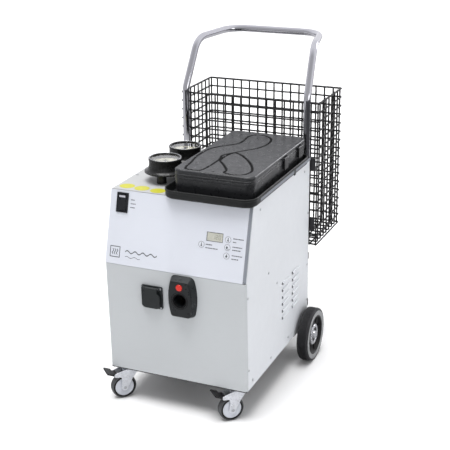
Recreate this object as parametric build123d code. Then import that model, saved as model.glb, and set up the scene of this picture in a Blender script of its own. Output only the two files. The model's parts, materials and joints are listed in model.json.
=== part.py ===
from build123d import *
from math import cos, hypot, pi, sin
import os

# Wheeled steam and vacuum cleaner.  Millimetres, +Z up, the operating face looks towards -Y, +X is on the
# operator's right.  Sub-parts are drawn with Y counted from the middle of the cabinet's depth; save_all()
# then moves each of them so that the origin lies on the floor under the middle of the whole machine.

# ---- cabinet -------------------------------------------------------------------------------------------
HALF_W = 230.0            # half of the cabinet's width
FRONT_Y = -275.0          # fold between the lower front and the fascia, the foremost line of the cabinet
REAR_Y = 275.0
BOTTOM_Z = 113.0
KNEE_Z = 465.5            # height of the front fold
TOP_Z = 683.0
FASCIA_LEAN = 58.0        # how far the fascia leans back from the fold to the top
FRONT_LEAN = 10.0         # how far the lower front leans back from the fold to the bottom
SHEET = 2.0
SIDE_GAP = 0.2            # gap between a side panel and the panels that meet it
FASCIA_T = 3.0
FASCIA_X = (-229.0, 219.0)
CORNER_R = 7.0            # rounded upright corners of the lower front
FRONT_RETURN = 8.0        # how far the lower front panel wraps back along each side

# ---- controls on the fascia (across, distance up the slope from the fold) --------------------------------
SWITCH_AT = (-187.5, 188.0)
SWITCH_SIZE = (38.0, 60.0)
DISPLAY_AT = (120.5, 124.0)
DISPLAY_SIZE = (51.0, 26.5)
KEY_R = 9.5
KEY_GAP = 0.1
KEYS = {"key_temperature": (80.5, 98.0), "key_steam": (162.5, 122.2), "key_vacuum": (162.2, 99.5),
        "key_refill": (161.7, 74.8)}

# ---- connections on the lower front (across, height) ------------------------------------------------------
SOCKET_AT = (-73.0, 378.0)
OUTLET_AT = (29.0, 391.5)
OUTLET_DEPTH = 26.0
PORT_R = 19.0
PORT_LENGTH = 50.0
BUTTON_RISE = 43.0        # release button above the port's centre

# ---- handle and basket ------------------------------------------------------------------------------------
TUBE_R = 12.0
TUBE_WALL = 1.5
UPRIGHT_X = 214.0
UPRIGHT_Y = 287.6
UPRIGHT_FOOT_Z = 150.0
BEND_LOW = (214.0, 287.6, 886.0)
BEND_MID = (205.7, 371.0, 1039.0)
BEND_TOP = (163.9, 566.4, 1044.5)
BASKET_X = (-241.0, 251.0)
BASKET_Y = (302.0, 549.0)
BASKET_Z = (374.0, 868.0)
BASKET_CELL = 30.75
WIRE = 3.2

# ---- rear wheels --------------------------------------------------------------------------------------------
WHEEL_Y = 227.0
WHEEL_R = 90.0
WHEEL_X = (240.0, 279.0)
AXLE_R = 8.0
RUN = 0.05                # radial running clearance

# ---- casters ------------------------------------------------------------------------------------------------
CASTER_AT = (184.0, -229.0)
CASTER_R = 40.0
CASTER_TRAIL = 24.0
CASTER_HALF = 12.0        # half of the tyre's width
CASTER_YAW = 45.0         # both forks rest turned by this much
LEG_Y = (15.0, 17.5)
PEDAL_PIVOT = (-50.0, 84.5)

# ---- top: tray, case, gauges --------------------------------------------------------------------------------
TRAY_X = (-52.0, 240.0)
TRAY_Y = (-245.0, 262.0)
TRAY_RIM_Z = 710.0
TRAY_CORNER = 42.0
TRAY_WALL = 5.0
TRAY_FLOOR = 3.0
CASE_X = (-29.0, 226.0)
CASE_Y = (-210.0, 255.0)
CASE_Z = (686.6, 742.0, 766.0)    # underside, parting line, top
CASE_WALL = 3.0
CASE_CORNER = 25.0
LATCH_Y = (52.0, 182.0)
GAUGE_X = -113.0
GAUGE_Y = (-84.0, 59.0)
GAUGE_Z = (713.0, 755.0)
GAUGE_R = 50.0
STEM_FORWARD = 27.0
STEM_R = (15.0, 8.0)      # above the top panel and where it passes through

parts = {}


def block(x0, x1, y0, y1, z0, z1):
    return Pos((x0 + x1) / 2, (y0 + y1) / 2, (z0 + z1) / 2) * Box(x1 - x0, y1 - y0, z1 - z0)


def rod_x(x0, x1, y, z, r):
    return Pos((x0 + x1) / 2, y, z) * Rot(0, 90, 0) * Cylinder(r, x1 - x0)


def rod_y(x, y0, y1, z, r):
    return Pos(x, (y0 + y1) / 2, z) * Rot(90, 0, 0) * Cylinder(r, y1 - y0)


def rod_z(x, y, z0, z1, r):
    return Pos(x, y, (z0 + z1) / 2) * Cylinder(r, z1 - z0)


def prism_x(points, x0, x1):
    """Solid between x0 and x1 with a (y, z) outline."""
    outline = make_face(Polyline(*[(x0, y, z) for y, z in points], close=True))
    return extrude(outline, amount=x1 - x0, dir=(1, 0, 0))


def prism_y(points, y0, y1):
    """Solid between y0 and y1 with an (x, z) outline."""
    outline = make_face(Polyline(*[(x, y0, z) for x, z in points], close=True))
    return extrude(outline, amount=y1 - y0, dir=(0, 1, 0))


def rounded_block(x0, x1, y0, y1, z0, z1, corner):
    flat = RectangleRounded(x1 - x0, y1 - y0, corner)
    return extrude(Pos((x0 + x1) / 2, (y0 + y1) / 2, z0) * flat, amount=z1 - z0, dir=(0, 0, 1))


def turned_x(points):
    """Ring or disc about the X axis from an (x, radius) outline."""
    outline = make_face(Polyline(*[(x, 0, r) for x, r in points], close=True))
    return revolve(outline, axis=Axis.X)


def turned_z(points):
    """Ring or disc about the Z axis from a (radius, z) outline."""
    outline = make_face(Polyline(*[(r, 0, z) for r, z in points], close=True))
    return revolve(outline, axis=Axis.Z)


def slope_frame(low, high):
    """Plane on a sloping front: origin at the front fold, local y up the slope, local z outwards."""
    length = hypot(high[0] - low[0], high[1] - low[1])
    dy = (high[0] - low[0]) / length
    dz = (high[1] - low[1]) / length
    return Plane(origin=(0, FRONT_Y, KNEE_Z), x_dir=(1, 0, 0), z_dir=(0, -dz, dy)), length


FASCIA, FASCIA_LENGTH = slope_frame((FRONT_Y, KNEE_Z), (FRONT_Y + FASCIA_LEAN, TOP_Z))
LOWER, LOWER_LENGTH = slope_frame((FRONT_Y + FRONT_LEAN, BOTTOM_Z), (FRONT_Y, KNEE_Z))


def slope_yz(plane, along, out):
    """World (y, z) of a point given along a sloping front and outwards from it."""
    point = plane.from_local_coords(Vector(0, along, out))
    return (point.Y, point.Z)


def lower_height(z):
    """Distance along the lower front, from the fold, of a height z."""
    return (z - KNEE_Z) * LOWER_LENGTH / (KNEE_Z - BOTTOM_Z)


def on_plane(plane, x, along, out, shape):
    return plane * Pos(x, along, out) * shape


def group(*solids):
    return Compound(children=[solid for item in solids for solid in item.solids()])


# ==== cabinet ================================================================================================
SIDE_SCREWS = [(-260.0, 416.0), (-253.5, 180.0), (266.0, 505.0), (266.0, 323.0), (266.0, 196.0),
               (-224.0, 136.0), (-69.0, 136.0), (86.0, 136.0), (-163.0, 658.0), (225.0, 659.0)]
LID_SCREWS = [(-93.0, 431.0), (-20.0, 370.0)]
REAR_SCREWS = [(-180.0, 136.0), (180.0, 136.0), (-180.0, 660.0), (0.0, 660.0), (180.0, 660.0)]
TOP_SCREWS = [(-220.0, -67.0), (-220.0, 200.0)]
LOUVRE_COLUMNS = (57.0, 149.0)
LOUVRE_ROWS = 6
LOUVRE_TOP_Z = 348.0
LOUVRE_PITCH = 23.7
LOUVRE_LENGTH = 60.0
LOUVRE_R = (5.2, 3.6)            # radius at the open front end and at the closed rear end
SCREW_R = 2.0
SCREW_HOLE_R = 2.1
HEAD_R = 3.8
HEAD_H = 1.6
SHANK = SHEET + 5.0
PAN_H = 30.0                     # wall height of the base pan
PAN_GAP = 0.5
PANEL_GAP = 0.5                  # gap at the front fold between the two front plates
FASCIA_SET = 0.2                 # gap between the fascia and the edges of the side panels behind it
STRIP_W = 16.0                   # width of the flange that shows beside the fascia
STRIP_END = (6.0, 8.0)           # how far the flange stops short of the fold and of the top
SOCKET_CUT = 54.0
OUTLET_CUT_R = 27.0
VENT = (70.0, 5.0)
VENT_X = 60.0
VENT_Z = 230.0
VENT_PITCH = 14.0
VENT_ROWS = 8
CUT = 20.0                       # depth of a tool that only has to pass through a sheet


def make_base_pan():
    wall_x = HALF_W - SHEET - PAN_GAP
    front = FRONT_Y + FRONT_LEAN + CORNER_R
    rear = REAR_Y - SHEET - PAN_GAP
    top = BOTTOM_Z + PAN_H
    pan = block(-wall_x, wall_x, front, rear, BOTTOM_Z, top)
    pan -= block(-wall_x + SHEET, wall_x - SHEET, front + SHEET, rear - SHEET, BOTTOM_Z + SHEET, top + 1)
    for y, z in SIDE_SCREWS:
        if z < top:
            pan -= rod_x(-HALF_W, HALF_W, y, z, SCREW_HOLE_R)
    for x, z in REAR_SCREWS:
        if z < top:
            pan -= rod_y(x, 0, REAR_Y, z, SCREW_HOLE_R)
    parts["base_pan"] = pan


def front_wrap(inset, low, top, back):
    """Block behind the lower front plane, drawn in by inset, with its two upright front edges rounded."""
    x = HALF_W - inset
    corners = [(low, -inset), (top, -inset), (top, -back), (low, -back)]
    wrap = prism_x([slope_yz(LOWER, along, out) for along, out in corners], -x, x)
    middle_y = (2 * FRONT_Y + FRONT_LEAN + FRONT_RETURN) / 2 + inset
    upright = [e for e in wrap.edges() if e.length > LOWER_LENGTH / 2 and e.center().Y < middle_y
               and abs(e.center().X) > x - 1]
    return fillet(upright, CORNER_R - inset)


def make_front_panel():
    plate = front_wrap(0, -LOWER_LENGTH, -PANEL_GAP, FRONT_RETURN)
    plate -= front_wrap(SHEET, -LOWER_LENGTH - 1, 1, FRONT_RETURN + 5)
    plate -= on_plane(LOWER, SOCKET_AT[0], lower_height(SOCKET_AT[1]), 0, Box(SOCKET_CUT, SOCKET_CUT, CUT))
    plate -= on_plane(LOWER, OUTLET_AT[0], lower_height(OUTLET_AT[1]), 0, Cylinder(OUTLET_CUT_R, CUT))
    parts["front_panel"] = plate


def make_control_fascia():
    width = FASCIA_X[1] - FASCIA_X[0]
    length = FASCIA_LENGTH - 2 * PANEL_GAP
    plate = on_plane(FASCIA, (FASCIA_X[0] + FASCIA_X[1]) / 2, PANEL_GAP + length / 2, -FASCIA_T / 2,
                     Box(width, length, FASCIA_T))
    plate -= on_plane(FASCIA, *SWITCH_AT, 0, Box(SWITCH_SIZE[0] - 3, SWITCH_SIZE[1] - 3, CUT))
    plate -= on_plane(FASCIA, *DISPLAY_AT, 0, Box(DISPLAY_SIZE[0] - 2, DISPLAY_SIZE[1] - 2, CUT))
    for x, along in KEYS.values():
        plate -= on_plane(FASCIA, x, along, 0, Cylinder(KEY_R + KEY_GAP, CUT))
    parts["control_fascia"] = plate


def louvre(side, y, z):
    """Pressed scoop lying along Y: a tapering half cone whose wide front end is open."""
    face = side * HALF_W
    front, rear, skin = y - LOUVRE_LENGTH / 2, y + LOUVRE_LENGTH / 2, 1.0

    def cone(y0, y1, r0, r1):
        return Pos(face, (y0 + y1) / 2, z) * Rot(-90, 0, 0) * Cone(r0, r1, y1 - y0)

    near, far = sorted((side * (HALF_W - SHEET), side * (HALF_W + 2 * LOUVRE_R[0])))
    outside = block(near, far, front - 1, rear + 1, z - 2 * LOUVRE_R[0], z + 2 * LOUVRE_R[0])
    outer = cone(front, rear, LOUVRE_R[0], LOUVRE_R[1]) & outside
    inner = cone(front - 1, rear - 2, LOUVRE_R[0] - skin, LOUVRE_R[1] - skin)
    return outer, inner


def make_side_panel(side, name):
    set_back = -(FASCIA_T + FASCIA_SET)
    knee = slope_yz(FASCIA, 2 * PANEL_GAP, set_back)
    crown = slope_yz(FASCIA, FASCIA_LENGTH - 4 * SIDE_GAP, set_back)
    seam = FRONT_RETURN + 2 * SIDE_GAP
    outline = [slope_yz(LOWER, -LOWER_LENGTH, -seam), slope_yz(LOWER, SIDE_GAP - PANEL_GAP, -seam),
               knee, crown, (crown[0], TOP_Z), (REAR_Y, TOP_Z), (REAR_Y, BOTTOM_Z)]
    inner, outer = sorted((side * (HALF_W - SHEET), side * HALF_W))
    panel = prism_x(outline, inner, outer)
    low, high = STRIP_END[0], FASCIA_LENGTH - STRIP_END[1]
    strip = [(low, set_back), (high, set_back), (high, set_back - SHEET), (low, set_back - SHEET)]
    x0, x1 = sorted((side * (HALF_W - STRIP_W), side * (HALF_W - SHEET / 2)))
    panel += prism_x([slope_yz(FASCIA, along, out) for along, out in strip], x0, x1)
    for column_y in LOUVRE_COLUMNS:
        for row in range(LOUVRE_ROWS):
            hood, hollow = louvre(side, column_y, LOUVRE_TOP_Z - row * LOUVRE_PITCH)
            panel = panel + hood - hollow
    for y, z in SIDE_SCREWS + LID_SCREWS:
        panel -= rod_x(inner - 5, outer + 5, y, z, SCREW_HOLE_R)
    parts[name] = panel


def make_top_panel():
    x = HALF_W - SHEET - SIDE_GAP
    front = FRONT_Y + FASCIA_LEAN + FASCIA_T + 1.2
    plate = block(-x, x, front, REAR_Y - SHEET - SIDE_GAP, TOP_Z - SHEET, TOP_Z)
    for y in GAUGE_Y:
        plate -= rod_z(GAUGE_X, y - STEM_FORWARD, TOP_Z - 5, TOP_Z + 5, STEM_R[1] + 0.2)
    for sx, sy in TOP_SCREWS:
        plate -= rod_z(sx, sy, TOP_Z - 5, TOP_Z + 5, SCREW_HOLE_R)
    parts["top_panel"] = plate


def make_rear_panel():
    x = HALF_W - SHEET - SIDE_GAP
    plate = block(-x, x, REAR_Y - SHEET, REAR_Y, BOTTOM_Z, TOP_Z - SHEET - SIDE_GAP)
    slot = Box(VENT[0], CUT, VENT[1])
    for column in (-VENT_X, VENT_X):
        for row in range(VENT_ROWS):
            plate -= Pos(column, REAR_Y, VENT_Z + row * VENT_PITCH) * slot
    for sx, sz in REAR_SCREWS:
        plate -= rod_y(sx, REAR_Y - 5, REAR_Y + 5, sz, SCREW_HOLE_R)
    parts["rear_panel"] = plate


def make_panel_screws():
    solids = []
    for side in (-1, 1):
        face = side * HALF_W
        turn = Rot(0, 90 * side, 0)
        for y, z in SIDE_SCREWS + LID_SCREWS:
            screw = Cylinder(HEAD_R, HEAD_H, align=(Align.CENTER, Align.CENTER, Align.MIN))
            screw += Cylinder(SCREW_R, SHANK, align=(Align.CENTER, Align.CENTER, Align.MAX))
            solids.append(Pos(face, y, z) * turn * screw)
    for x, z in REAR_SCREWS:
        screw = rod_y(x, REAR_Y, REAR_Y + HEAD_H, z, HEAD_R) + rod_y(x, REAR_Y - SHANK, REAR_Y, z, SCREW_R)
        solids.append(screw)
    for x, y in TOP_SCREWS:
        solids.append(rod_z(x, y, TOP_Z, TOP_Z + HEAD_H, HEAD_R) + rod_z(x, y, TOP_Z - SHANK, TOP_Z, SCREW_R))
    parts["panel_screws"] = group(*solids)


# ==== handle, basket =========================================================================================
CLAMP_Z = (175.0, 345.0)
CLAMP_H = 20.0
CLAMP_T = 2.0
CLAMP_REACH = 34.0        # how far the clamp's foot reaches inwards from the tube's axis
BRACKET_Z = (644.0, 440.0)
BRACKET_H = 44.0
BRACKET_T = 3.0
BRACKET_INSET = 5.0       # the bracket's outer face lies this far inside the basket's side


def mirrored(point):
    return (-point[0], point[1], point[2])


def make_push_handle():
    foot = (UPRIGHT_X, UPRIGHT_Y, UPRIGHT_FOOT_Z)
    right = [foot, BEND_LOW, BEND_MID, BEND_TOP]
    path = FilletPolyline(*right, *[mirrored(p) for p in reversed(right)],
                          radius=[60, 69, 76, 76, 69, 60])
    start = Plane(origin=foot, z_dir=(0, 0, 1))
    bore = sweep(start * Circle(TUBE_R - TUBE_WALL), path=path)
    parts["push_handle"] = sweep(start * Circle(TUBE_R), path=path) - bore


def make_handle_clamps():
    solids = []
    grip = TUBE_R + CLAMP_T
    for side in (-1, 1):
        x = side * UPRIGHT_X
        for z in CLAMP_Z:
            low, high = z - CLAMP_H / 2, z + CLAMP_H / 2
            shell = rod_z(x, UPRIGHT_Y, low, high, grip)
            near, far = sorted((side * (UPRIGHT_X - CLAMP_REACH), side * (UPRIGHT_X + TUBE_R)))
            shell += block(near, far, REAR_Y, REAR_Y + 3, low, high)
            near, far = sorted((side * (UPRIGHT_X - grip), side * (UPRIGHT_X + TUBE_R)))
            shell += block(near, far, REAR_Y, UPRIGHT_Y, low, high)
            shell -= rod_z(x, UPRIGHT_Y, low - 1, high + 1, TUBE_R)
            shell -= block(x - 30, x + 30, REAR_Y - 10, REAR_Y, low - 1, high + 1)
            solids.append(shell)
    parts["handle_clamps"] = group(*solids)


def grid_face(width, height, columns, rows):
    """Flat grid of bars: the cells are cut as holes from one sheet."""
    pitch_x = (width - WIRE) / columns
    pitch_y = (height - WIRE) / rows
    cell = Rectangle(pitch_x - WIRE, pitch_y - WIRE)
    return Rectangle(width, height) - GridLocations(pitch_x, pitch_y, columns, rows) * cell


def make_wire_basket():
    width = BASKET_X[1] - BASKET_X[0]
    depth = BASKET_Y[1] - BASKET_Y[0]
    height = BASKET_Z[1] - BASKET_Z[0]
    mid_x = (BASKET_X[0] + BASKET_X[1]) / 2
    mid_y = (BASKET_Y[0] + BASKET_Y[1]) / 2
    mid_z = (BASKET_Z[0] + BASKET_Z[1]) / 2
    across = round(width / BASKET_CELL)
    deep = round(depth / BASKET_CELL)
    tall = round(height / BASKET_CELL)
    wide_grid = grid_face(width, height, across, tall)
    side_grid = grid_face(depth - 2 * WIRE, height, deep, tall)
    floor_grid = grid_face(width - 2 * WIRE, depth - 2 * WIRE, across, deep)
    solids = []
    for y in (BASKET_Y[0] + WIRE, BASKET_Y[1]):
        plane = Plane(origin=(mid_x, y, mid_z), x_dir=(1, 0, 0), z_dir=(0, -1, 0))
        solids.append(extrude(plane * wide_grid, amount=WIRE))
    for x in (BASKET_X[0], BASKET_X[1] - WIRE):
        plane = Plane(origin=(x, mid_y, mid_z), x_dir=(0, 1, 0), z_dir=(1, 0, 0))
        solids.append(extrude(plane * side_grid, amount=WIRE))
    plane = Plane(origin=(mid_x, mid_y, BASKET_Z[0]), x_dir=(1, 0, 0), z_dir=(0, 0, 1))
    solids.append(extrude(plane * floor_grid, amount=WIRE))
    parts["wire_basket"] = group(*solids)


def make_basket_brackets():
    solids = []
    for side, edge in ((-1, -BASKET_X[0] - BRACKET_INSET), (1, BASKET_X[1] - BRACKET_INSET)):
        x = side * UPRIGHT_X
        for z in BRACKET_Z:
            top = z + BRACKET_H
            ring = rod_z(x, UPRIGHT_Y, z, top, TUBE_R + 2.0)
            near, far = sorted((x, side * edge))
            ring += block(near, far, UPRIGHT_Y - BRACKET_T / 2, UPRIGHT_Y + BRACKET_T / 2, z, top)
            near, far = sorted((side * (edge - BRACKET_T), side * edge))
            ring += block(near, far, UPRIGHT_Y, BASKET_Y[0], z, z + 12)
            ring -= rod_z(x, UPRIGHT_Y, z - 1, top + 1, TUBE_R)
            ring -= block(x - 30, x + 30, REAR_Y - 10, REAR_Y, z - 1, top + 1)
            solids.append(ring)
    parts["basket_brackets"] = group(*solids)


# ==== rear wheels ============================================================================================
HANGER_X = (165.0, 201.0, 206.0)     # inner end of the foot, inner and outer face of the cheek
HANGER_HALF = 28.0
RIM_R = 66.0                         # where the tyre sits
CAP_R = 35.0


def make_axle():
    parts["rear_axle"] = rod_x(-WHEEL_X[1] + 7, WHEEL_X[1] - 7, WHEEL_Y, WHEEL_R, AXLE_R)
    solids = []
    front, rear = WHEEL_Y - HANGER_HALF, WHEEL_Y + HANGER_HALF
    tip, tip_z = HANGER_HALF / 2, WHEEL_R - 2 * AXLE_R
    for side in (-1, 1):
        inner, outer = sorted((side * HANGER_X[1], side * HANGER_X[2]))
        cheek = prism_x([(front, BOTTOM_Z), (rear, BOTTOM_Z), (WHEEL_Y + tip, tip_z), (WHEEL_Y - tip, tip_z)],
                        inner, outer)
        foot_in, foot_out = sorted((side * HANGER_X[0], side * HANGER_X[1]))
        cheek += block(foot_in, foot_out, front, rear, BOTTOM_Z - 4, BOTTOM_Z)
        solids.append(cheek - rod_x(inner - 1, outer + 1, WHEEL_Y, WHEEL_R, AXLE_R))
    parts["axle_hangers"] = group(*solids)


def make_rear_wheel(side, tag):
    inner, outer = WHEEL_X
    tread = [(inner, RIM_R), (inner, WHEEL_R - 6), (inner + 3, WHEEL_R - 1.5), (inner + 8, WHEEL_R),
             (outer - 8, WHEEL_R), (outer - 3, WHEEL_R - 1.5), (outer, WHEEL_R - 6), (outer, RIM_R)]
    rim = [(inner - 2, AXLE_R + RUN), (inner - 2, 22), (inner + 8, 24), (inner + 10, 58), (inner + 1, RIM_R - 5),
           (inner + 1, RIM_R), (outer - 1, RIM_R), (outer - 1, RIM_R - 5), (outer - 11, 58),
           (outer - 12, CAP_R + 1), (outer - 9, CAP_R + 1), (outer - 9, AXLE_R + RUN)]
    cap = [(outer - 9, 10), (outer - 9, CAP_R), (outer - 6, CAP_R), (outer - 4, CAP_R - 4), (outer - 4, 24),
           (outer - 6, 22), (outer - 6, 14), (outer - 1, 11), (outer - 0.5, 0), (outer - 4, 0), (outer - 4, 10)]
    place = Pos(0, WHEEL_Y, WHEEL_R)
    for name, outline in (("rear_tyre", tread), ("rear_rim", rim), ("hub_cap", cap)):
        ring = turned_x(outline)
        if side < 0:
            ring = mirror(ring, about=Plane.YZ)
        parts[f"{name}_{tag}"] = place * ring


# ==== casters ================================================================================================
CROWN_Z = BOTTOM_Z - 13.0        # top face of the fork
STEM_PIN_R = 6.0
CASTER_AXLE_R = 4.0
PEDAL_PIN_R = 2.5
CASTER_HUB_R = 30.0


def caster_place(side):
    return Pos(side * CASTER_AT[0], CASTER_AT[1], 0) * Rot(0, 0, CASTER_YAW)


def make_caster_plates():
    solids = []
    for side in (-1, 1):
        plate = rounded_block(-34, 34, -34, 34, BOTTOM_Z - 3, BOTTOM_Z, 6)
        plate += rod_z(0, 0, BOTTOM_Z - 9, BOTTOM_Z - 3, 23)
        plate += rod_z(0, 0, BOTTOM_Z - 20, BOTTOM_Z - 9, STEM_PIN_R)
        for sx in (-1, 1):
            for sy in (-1, 1):
                plate += rod_z(sx * 26, sy * 26, BOTTOM_Z - 7, BOTTOM_Z - 3, 5)
        solids.append(Pos(side * CASTER_AT[0], CASTER_AT[1], 0) * plate)
    parts["caster_plates"] = group(*solids)


def fork_leg(y0, y1):
    """One cheek: arm towards the pedal, hooked neck, rounded end at the wheel's axle."""
    hub_x, hub_z, hub_r = -CASTER_TRAIL, CASTER_R, 11
    tip_x, tip_z = PEDAL_PIVOT
    tip_r = 6.5
    leg = prism_y([(tip_x, tip_z + tip_r), (-26, CROWN_Z - 1), (-18, CROWN_Z), (21, CROWN_Z), (20, CROWN_Z - 8),
                   (3, 70), (hub_x + hub_r, hub_z), (hub_x - hub_r, hub_z), (-32, 64), (-34, 76),
                   (tip_x, tip_z - tip_r)], y0, y1)
    leg += rod_y(tip_x, y0, y1, tip_z, tip_r)
    leg += rod_y(hub_x, y0, y1, hub_z, hub_r)
    leg -= rod_y(-41.5, y0 - 1, y1 + 1, 71.5, tip_r)
    return leg


def make_fork(side, tag):
    wide = LEG_Y[1]
    fork = fork_leg(-wide, -LEG_Y[0]) + fork_leg(*LEG_Y)
    fork += block(-26, 21, -wide, wide, CROWN_Z - 2.5, CROWN_Z)
    fork += rod_z(0, 0, CROWN_Z - 2.5, CROWN_Z + 3, 20)
    fork -= rod_z(0, 0, CROWN_Z - 10, CROWN_Z + 5, STEM_PIN_R + RUN)
    fork += rod_y(-CASTER_TRAIL, -wide - 2.5, wide + 2.5, CASTER_R, CASTER_AXLE_R)
    fork += rod_y(PEDAL_PIVOT[0], -wide - 1, wide + 1, PEDAL_PIVOT[1], PEDAL_PIN_R)
    parts[f"caster_fork_{tag}"] = caster_place(side) * fork


def make_caster_wheel(side, tag):
    centre = Pos(-CASTER_TRAIL, 0, CASTER_R) * Rot(0, 0, 90)
    half, rim = CASTER_HALF, CASTER_HUB_R
    tyre = turned_x([(-half, rim), (-half, 35), (-half + 2.5, 38.5), (-half + 6, CASTER_R), (half - 6, CASTER_R),
                     (half - 2.5, 38.5), (half, 35), (half, rim)])
    bore = CASTER_AXLE_R + RUN
    hub = turned_x([(-half - 2, bore), (-half - 2, 8), (-half + 1.5, 10), (-half + 1, 24), (-half + 0.3, rim),
                    (half - 0.3, rim), (half - 1, 24), (half - 1.5, 10), (half + 2, 8), (half + 2, bore)])
    parts[f"caster_tyre_{tag}"] = caster_place(side) * centre * tyre
    parts[f"caster_hub_{tag}"] = caster_place(side) * centre * hub


def make_brake_pedal(side, tag):
    px, pz = PEDAL_PIVOT
    boss = LEG_Y[0] - 0.5
    pedal = rod_y(px, -boss, boss, pz, 5.5)
    pedal += prism_y([(px - 3, pz - 4), (px - 3, pz + 5), (px - 14, pz + 9), (px - 16, pz + 4)], -boss, boss)
    pedal += prism_y([(px - 8, pz + 3), (px - 9, pz + 8), (px - 30, pz + 17), (px - 32, pz + 13)], -24, 24)
    pedal -= rod_y(px, -boss - 1, boss + 1, pz, PEDAL_PIN_R + RUN)
    parts[f"brake_pedal_{tag}"] = caster_place(side) * pedal


# ==== tray and accessory case ================================================================================
def make_case_tray():
    tray = rounded_block(*TRAY_X, *TRAY_Y, TOP_Z, TRAY_RIM_Z, TRAY_CORNER)
    tray = fillet(tray.edges().group_by(Axis.Z)[-1] + tray.edges().group_by(Axis.Z)[0], 2.0)
    tray -= rounded_block(TRAY_X[0] + TRAY_WALL, TRAY_X[1] - TRAY_WALL, TRAY_Y[0] + TRAY_WALL,
                          TRAY_Y[1] - TRAY_WALL, TOP_Z + TRAY_FLOOR, TRAY_RIM_Z + 1, TRAY_CORNER - TRAY_WALL)
    parts["case_tray"] = tray


HINGE_X = CASE_X[0] - 1.5
HINGE_Z = CASE_Z[1]
HINGE_R = 3.5
HINGE_PIN_R = 1.5
HINGE_SPANS = [(-150.0, -120.0), (150.0, 180.0)]      # base knuckles; the lid's knuckles sit beside them
LATCH_PIVOT = (CASE_X[1] + 4.0, CASE_Z[1] + 12.0)
LATCH_R = 3.2
LATCH_PIN_R = 1.5
LATCH_HALF = 15.5                # half of the latch's width
LATCH_DROP = 34.0
LUG_AT = 17.5                    # middle of the lid's lugs beside a latch
LUG_HALF = 1.5
LUG_R = 3.5


def case_shell(z0, z1, open_up):
    shell = rounded_block(*CASE_X, *CASE_Y, z0, z1, CASE_CORNER)
    rim = shell.edges().group_by(Axis.Z)[0 if open_up else -1]
    shell = fillet(rim, 4)
    floor, ceiling = (z0 + CASE_WALL, z1 + 1) if open_up else (z0 - 1, z1 - CASE_WALL)
    shell -= rounded_block(CASE_X[0] + CASE_WALL, CASE_X[1] - CASE_WALL, CASE_Y[0] + CASE_WALL,
                           CASE_Y[1] - CASE_WALL, floor, ceiling, CASE_CORNER - CASE_WALL)
    return shell


def knuckle(y0, y1, down):
    """Hinge knuckle with a web to the base (down) or to the lid."""
    web_z = (HINGE_Z - 9, HINGE_Z) if down else (HINGE_Z, HINGE_Z + 9)
    ear = rod_y(HINGE_X, y0, y1, HINGE_Z, HINGE_R)
    ear += block(HINGE_X - HINGE_R, CASE_X[0] + 0.5, y0, y1, *web_z)
    return ear - rod_y(HINGE_X, y0 - 1, y1 + 1, HINGE_Z, HINGE_PIN_R + RUN)


def hinge_relief(y0, y1):
    """Room cut from the opposite half for a knuckle."""
    return rod_y(HINGE_X, y0 - 0.5, y1 + 0.5, HINGE_Z, HINGE_R + 0.6)


def make_accessory_case():
    gap = 0.25
    base = case_shell(CASE_Z[0], CASE_Z[1] - gap, True)
    lid = case_shell(CASE_Z[1] + gap, CASE_Z[2], False)
    lid_spans = [(y1 + 0.5, y1 + 30.5) for y0, y1 in HINGE_SPANS]
    for span in HINGE_SPANS:
        lid -= hinge_relief(*span)
        base += knuckle(*span, True)
    for span in lid_spans:
        base -= hinge_relief(*span)
        lid += knuckle(*span, False)
    for y in LATCH_Y:
        x, z = LATCH_PIVOT
        for side in (-1, 1):
            y0, y1 = y + side * LUG_AT - LUG_HALF, y + side * LUG_AT + LUG_HALF
            lid += rod_y(x, y0, y1, z, LUG_R) + block(CASE_X[1] - 1, x, y0, y1, z - LUG_R, z + LUG_R)
        lid += rod_y(x, y - LUG_AT - LUG_HALF, y + LUG_AT + LUG_HALF, z, LATCH_PIN_R)
    parts["case_base"] = base
    parts["case_lid"] = lid
    pins = [rod_y(HINGE_X, y0, y1 + 30.5, HINGE_Z, HINGE_PIN_R) for y0, y1 in HINGE_SPANS]
    parts["case_hinge_pins"] = group(*pins)


def make_latch(y, name):
    x, z = LATCH_PIVOT
    front, rear, half_t = y - LATCH_HALF, y + LATCH_HALF, LATCH_R / 2
    latch = rod_y(x, front, rear, z, LATCH_R)
    latch += block(x - half_t, x + half_t, front, rear, z - LATCH_DROP, z)
    latch += block(x - half_t - 1.8, x - half_t, y - 12, y + 12, z - LATCH_DROP + 4, z - LATCH_DROP + 12)
    latch -= rod_y(x, front - 1, rear + 1, z, LATCH_PIN_R + RUN)
    parts[name] = latch


# ==== gauges =================================================================================================
def make_gauges():
    cases, dials, glasses = [], [], []
    low, high = GAUGE_Z
    for y in GAUGE_Y:
        cup = turned_z([(0, low), (GAUGE_R + 14, low), (GAUGE_R + 14, low + 3), (GAUGE_R + 2, low + 6),
                        (GAUGE_R, low + 10), (GAUGE_R, high - 6), (GAUGE_R + 1, high - 5), (GAUGE_R + 1, high - 1),
                        (GAUGE_R, high), (GAUGE_R - 6, high), (GAUGE_R - 6, high - 2), (GAUGE_R - 4, high - 2),
                        (GAUGE_R - 4, high - 20), (3, high - 20), (3, high - 12), (0, high - 12)])
        stem = rod_z(0, -STEM_FORWARD, TOP_Z, low, STEM_R[0])
        stem += rod_z(0, -STEM_FORWARD, TOP_Z - 24, TOP_Z, STEM_R[1])
        hub_pin = rod_z(0, 0, high - 12, high - 6, 1.5)
        cases.append(Pos(GAUGE_X, y, 0) * (cup + stem + hub_pin))
        dials.append(rod_z(GAUGE_X, y, high - 18, high - 16, GAUGE_R - 4.2) - rod_z(GAUGE_X, y, low, high, 3.3))
        glasses.append(rod_z(GAUGE_X, y, high - 4, high - 2, GAUGE_R - 4.2))
    parts["gauge_cases"] = group(*cases)
    parts["gauge_dials"] = group(*dials)
    parts["gauge_glasses"] = group(*glasses)


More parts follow.
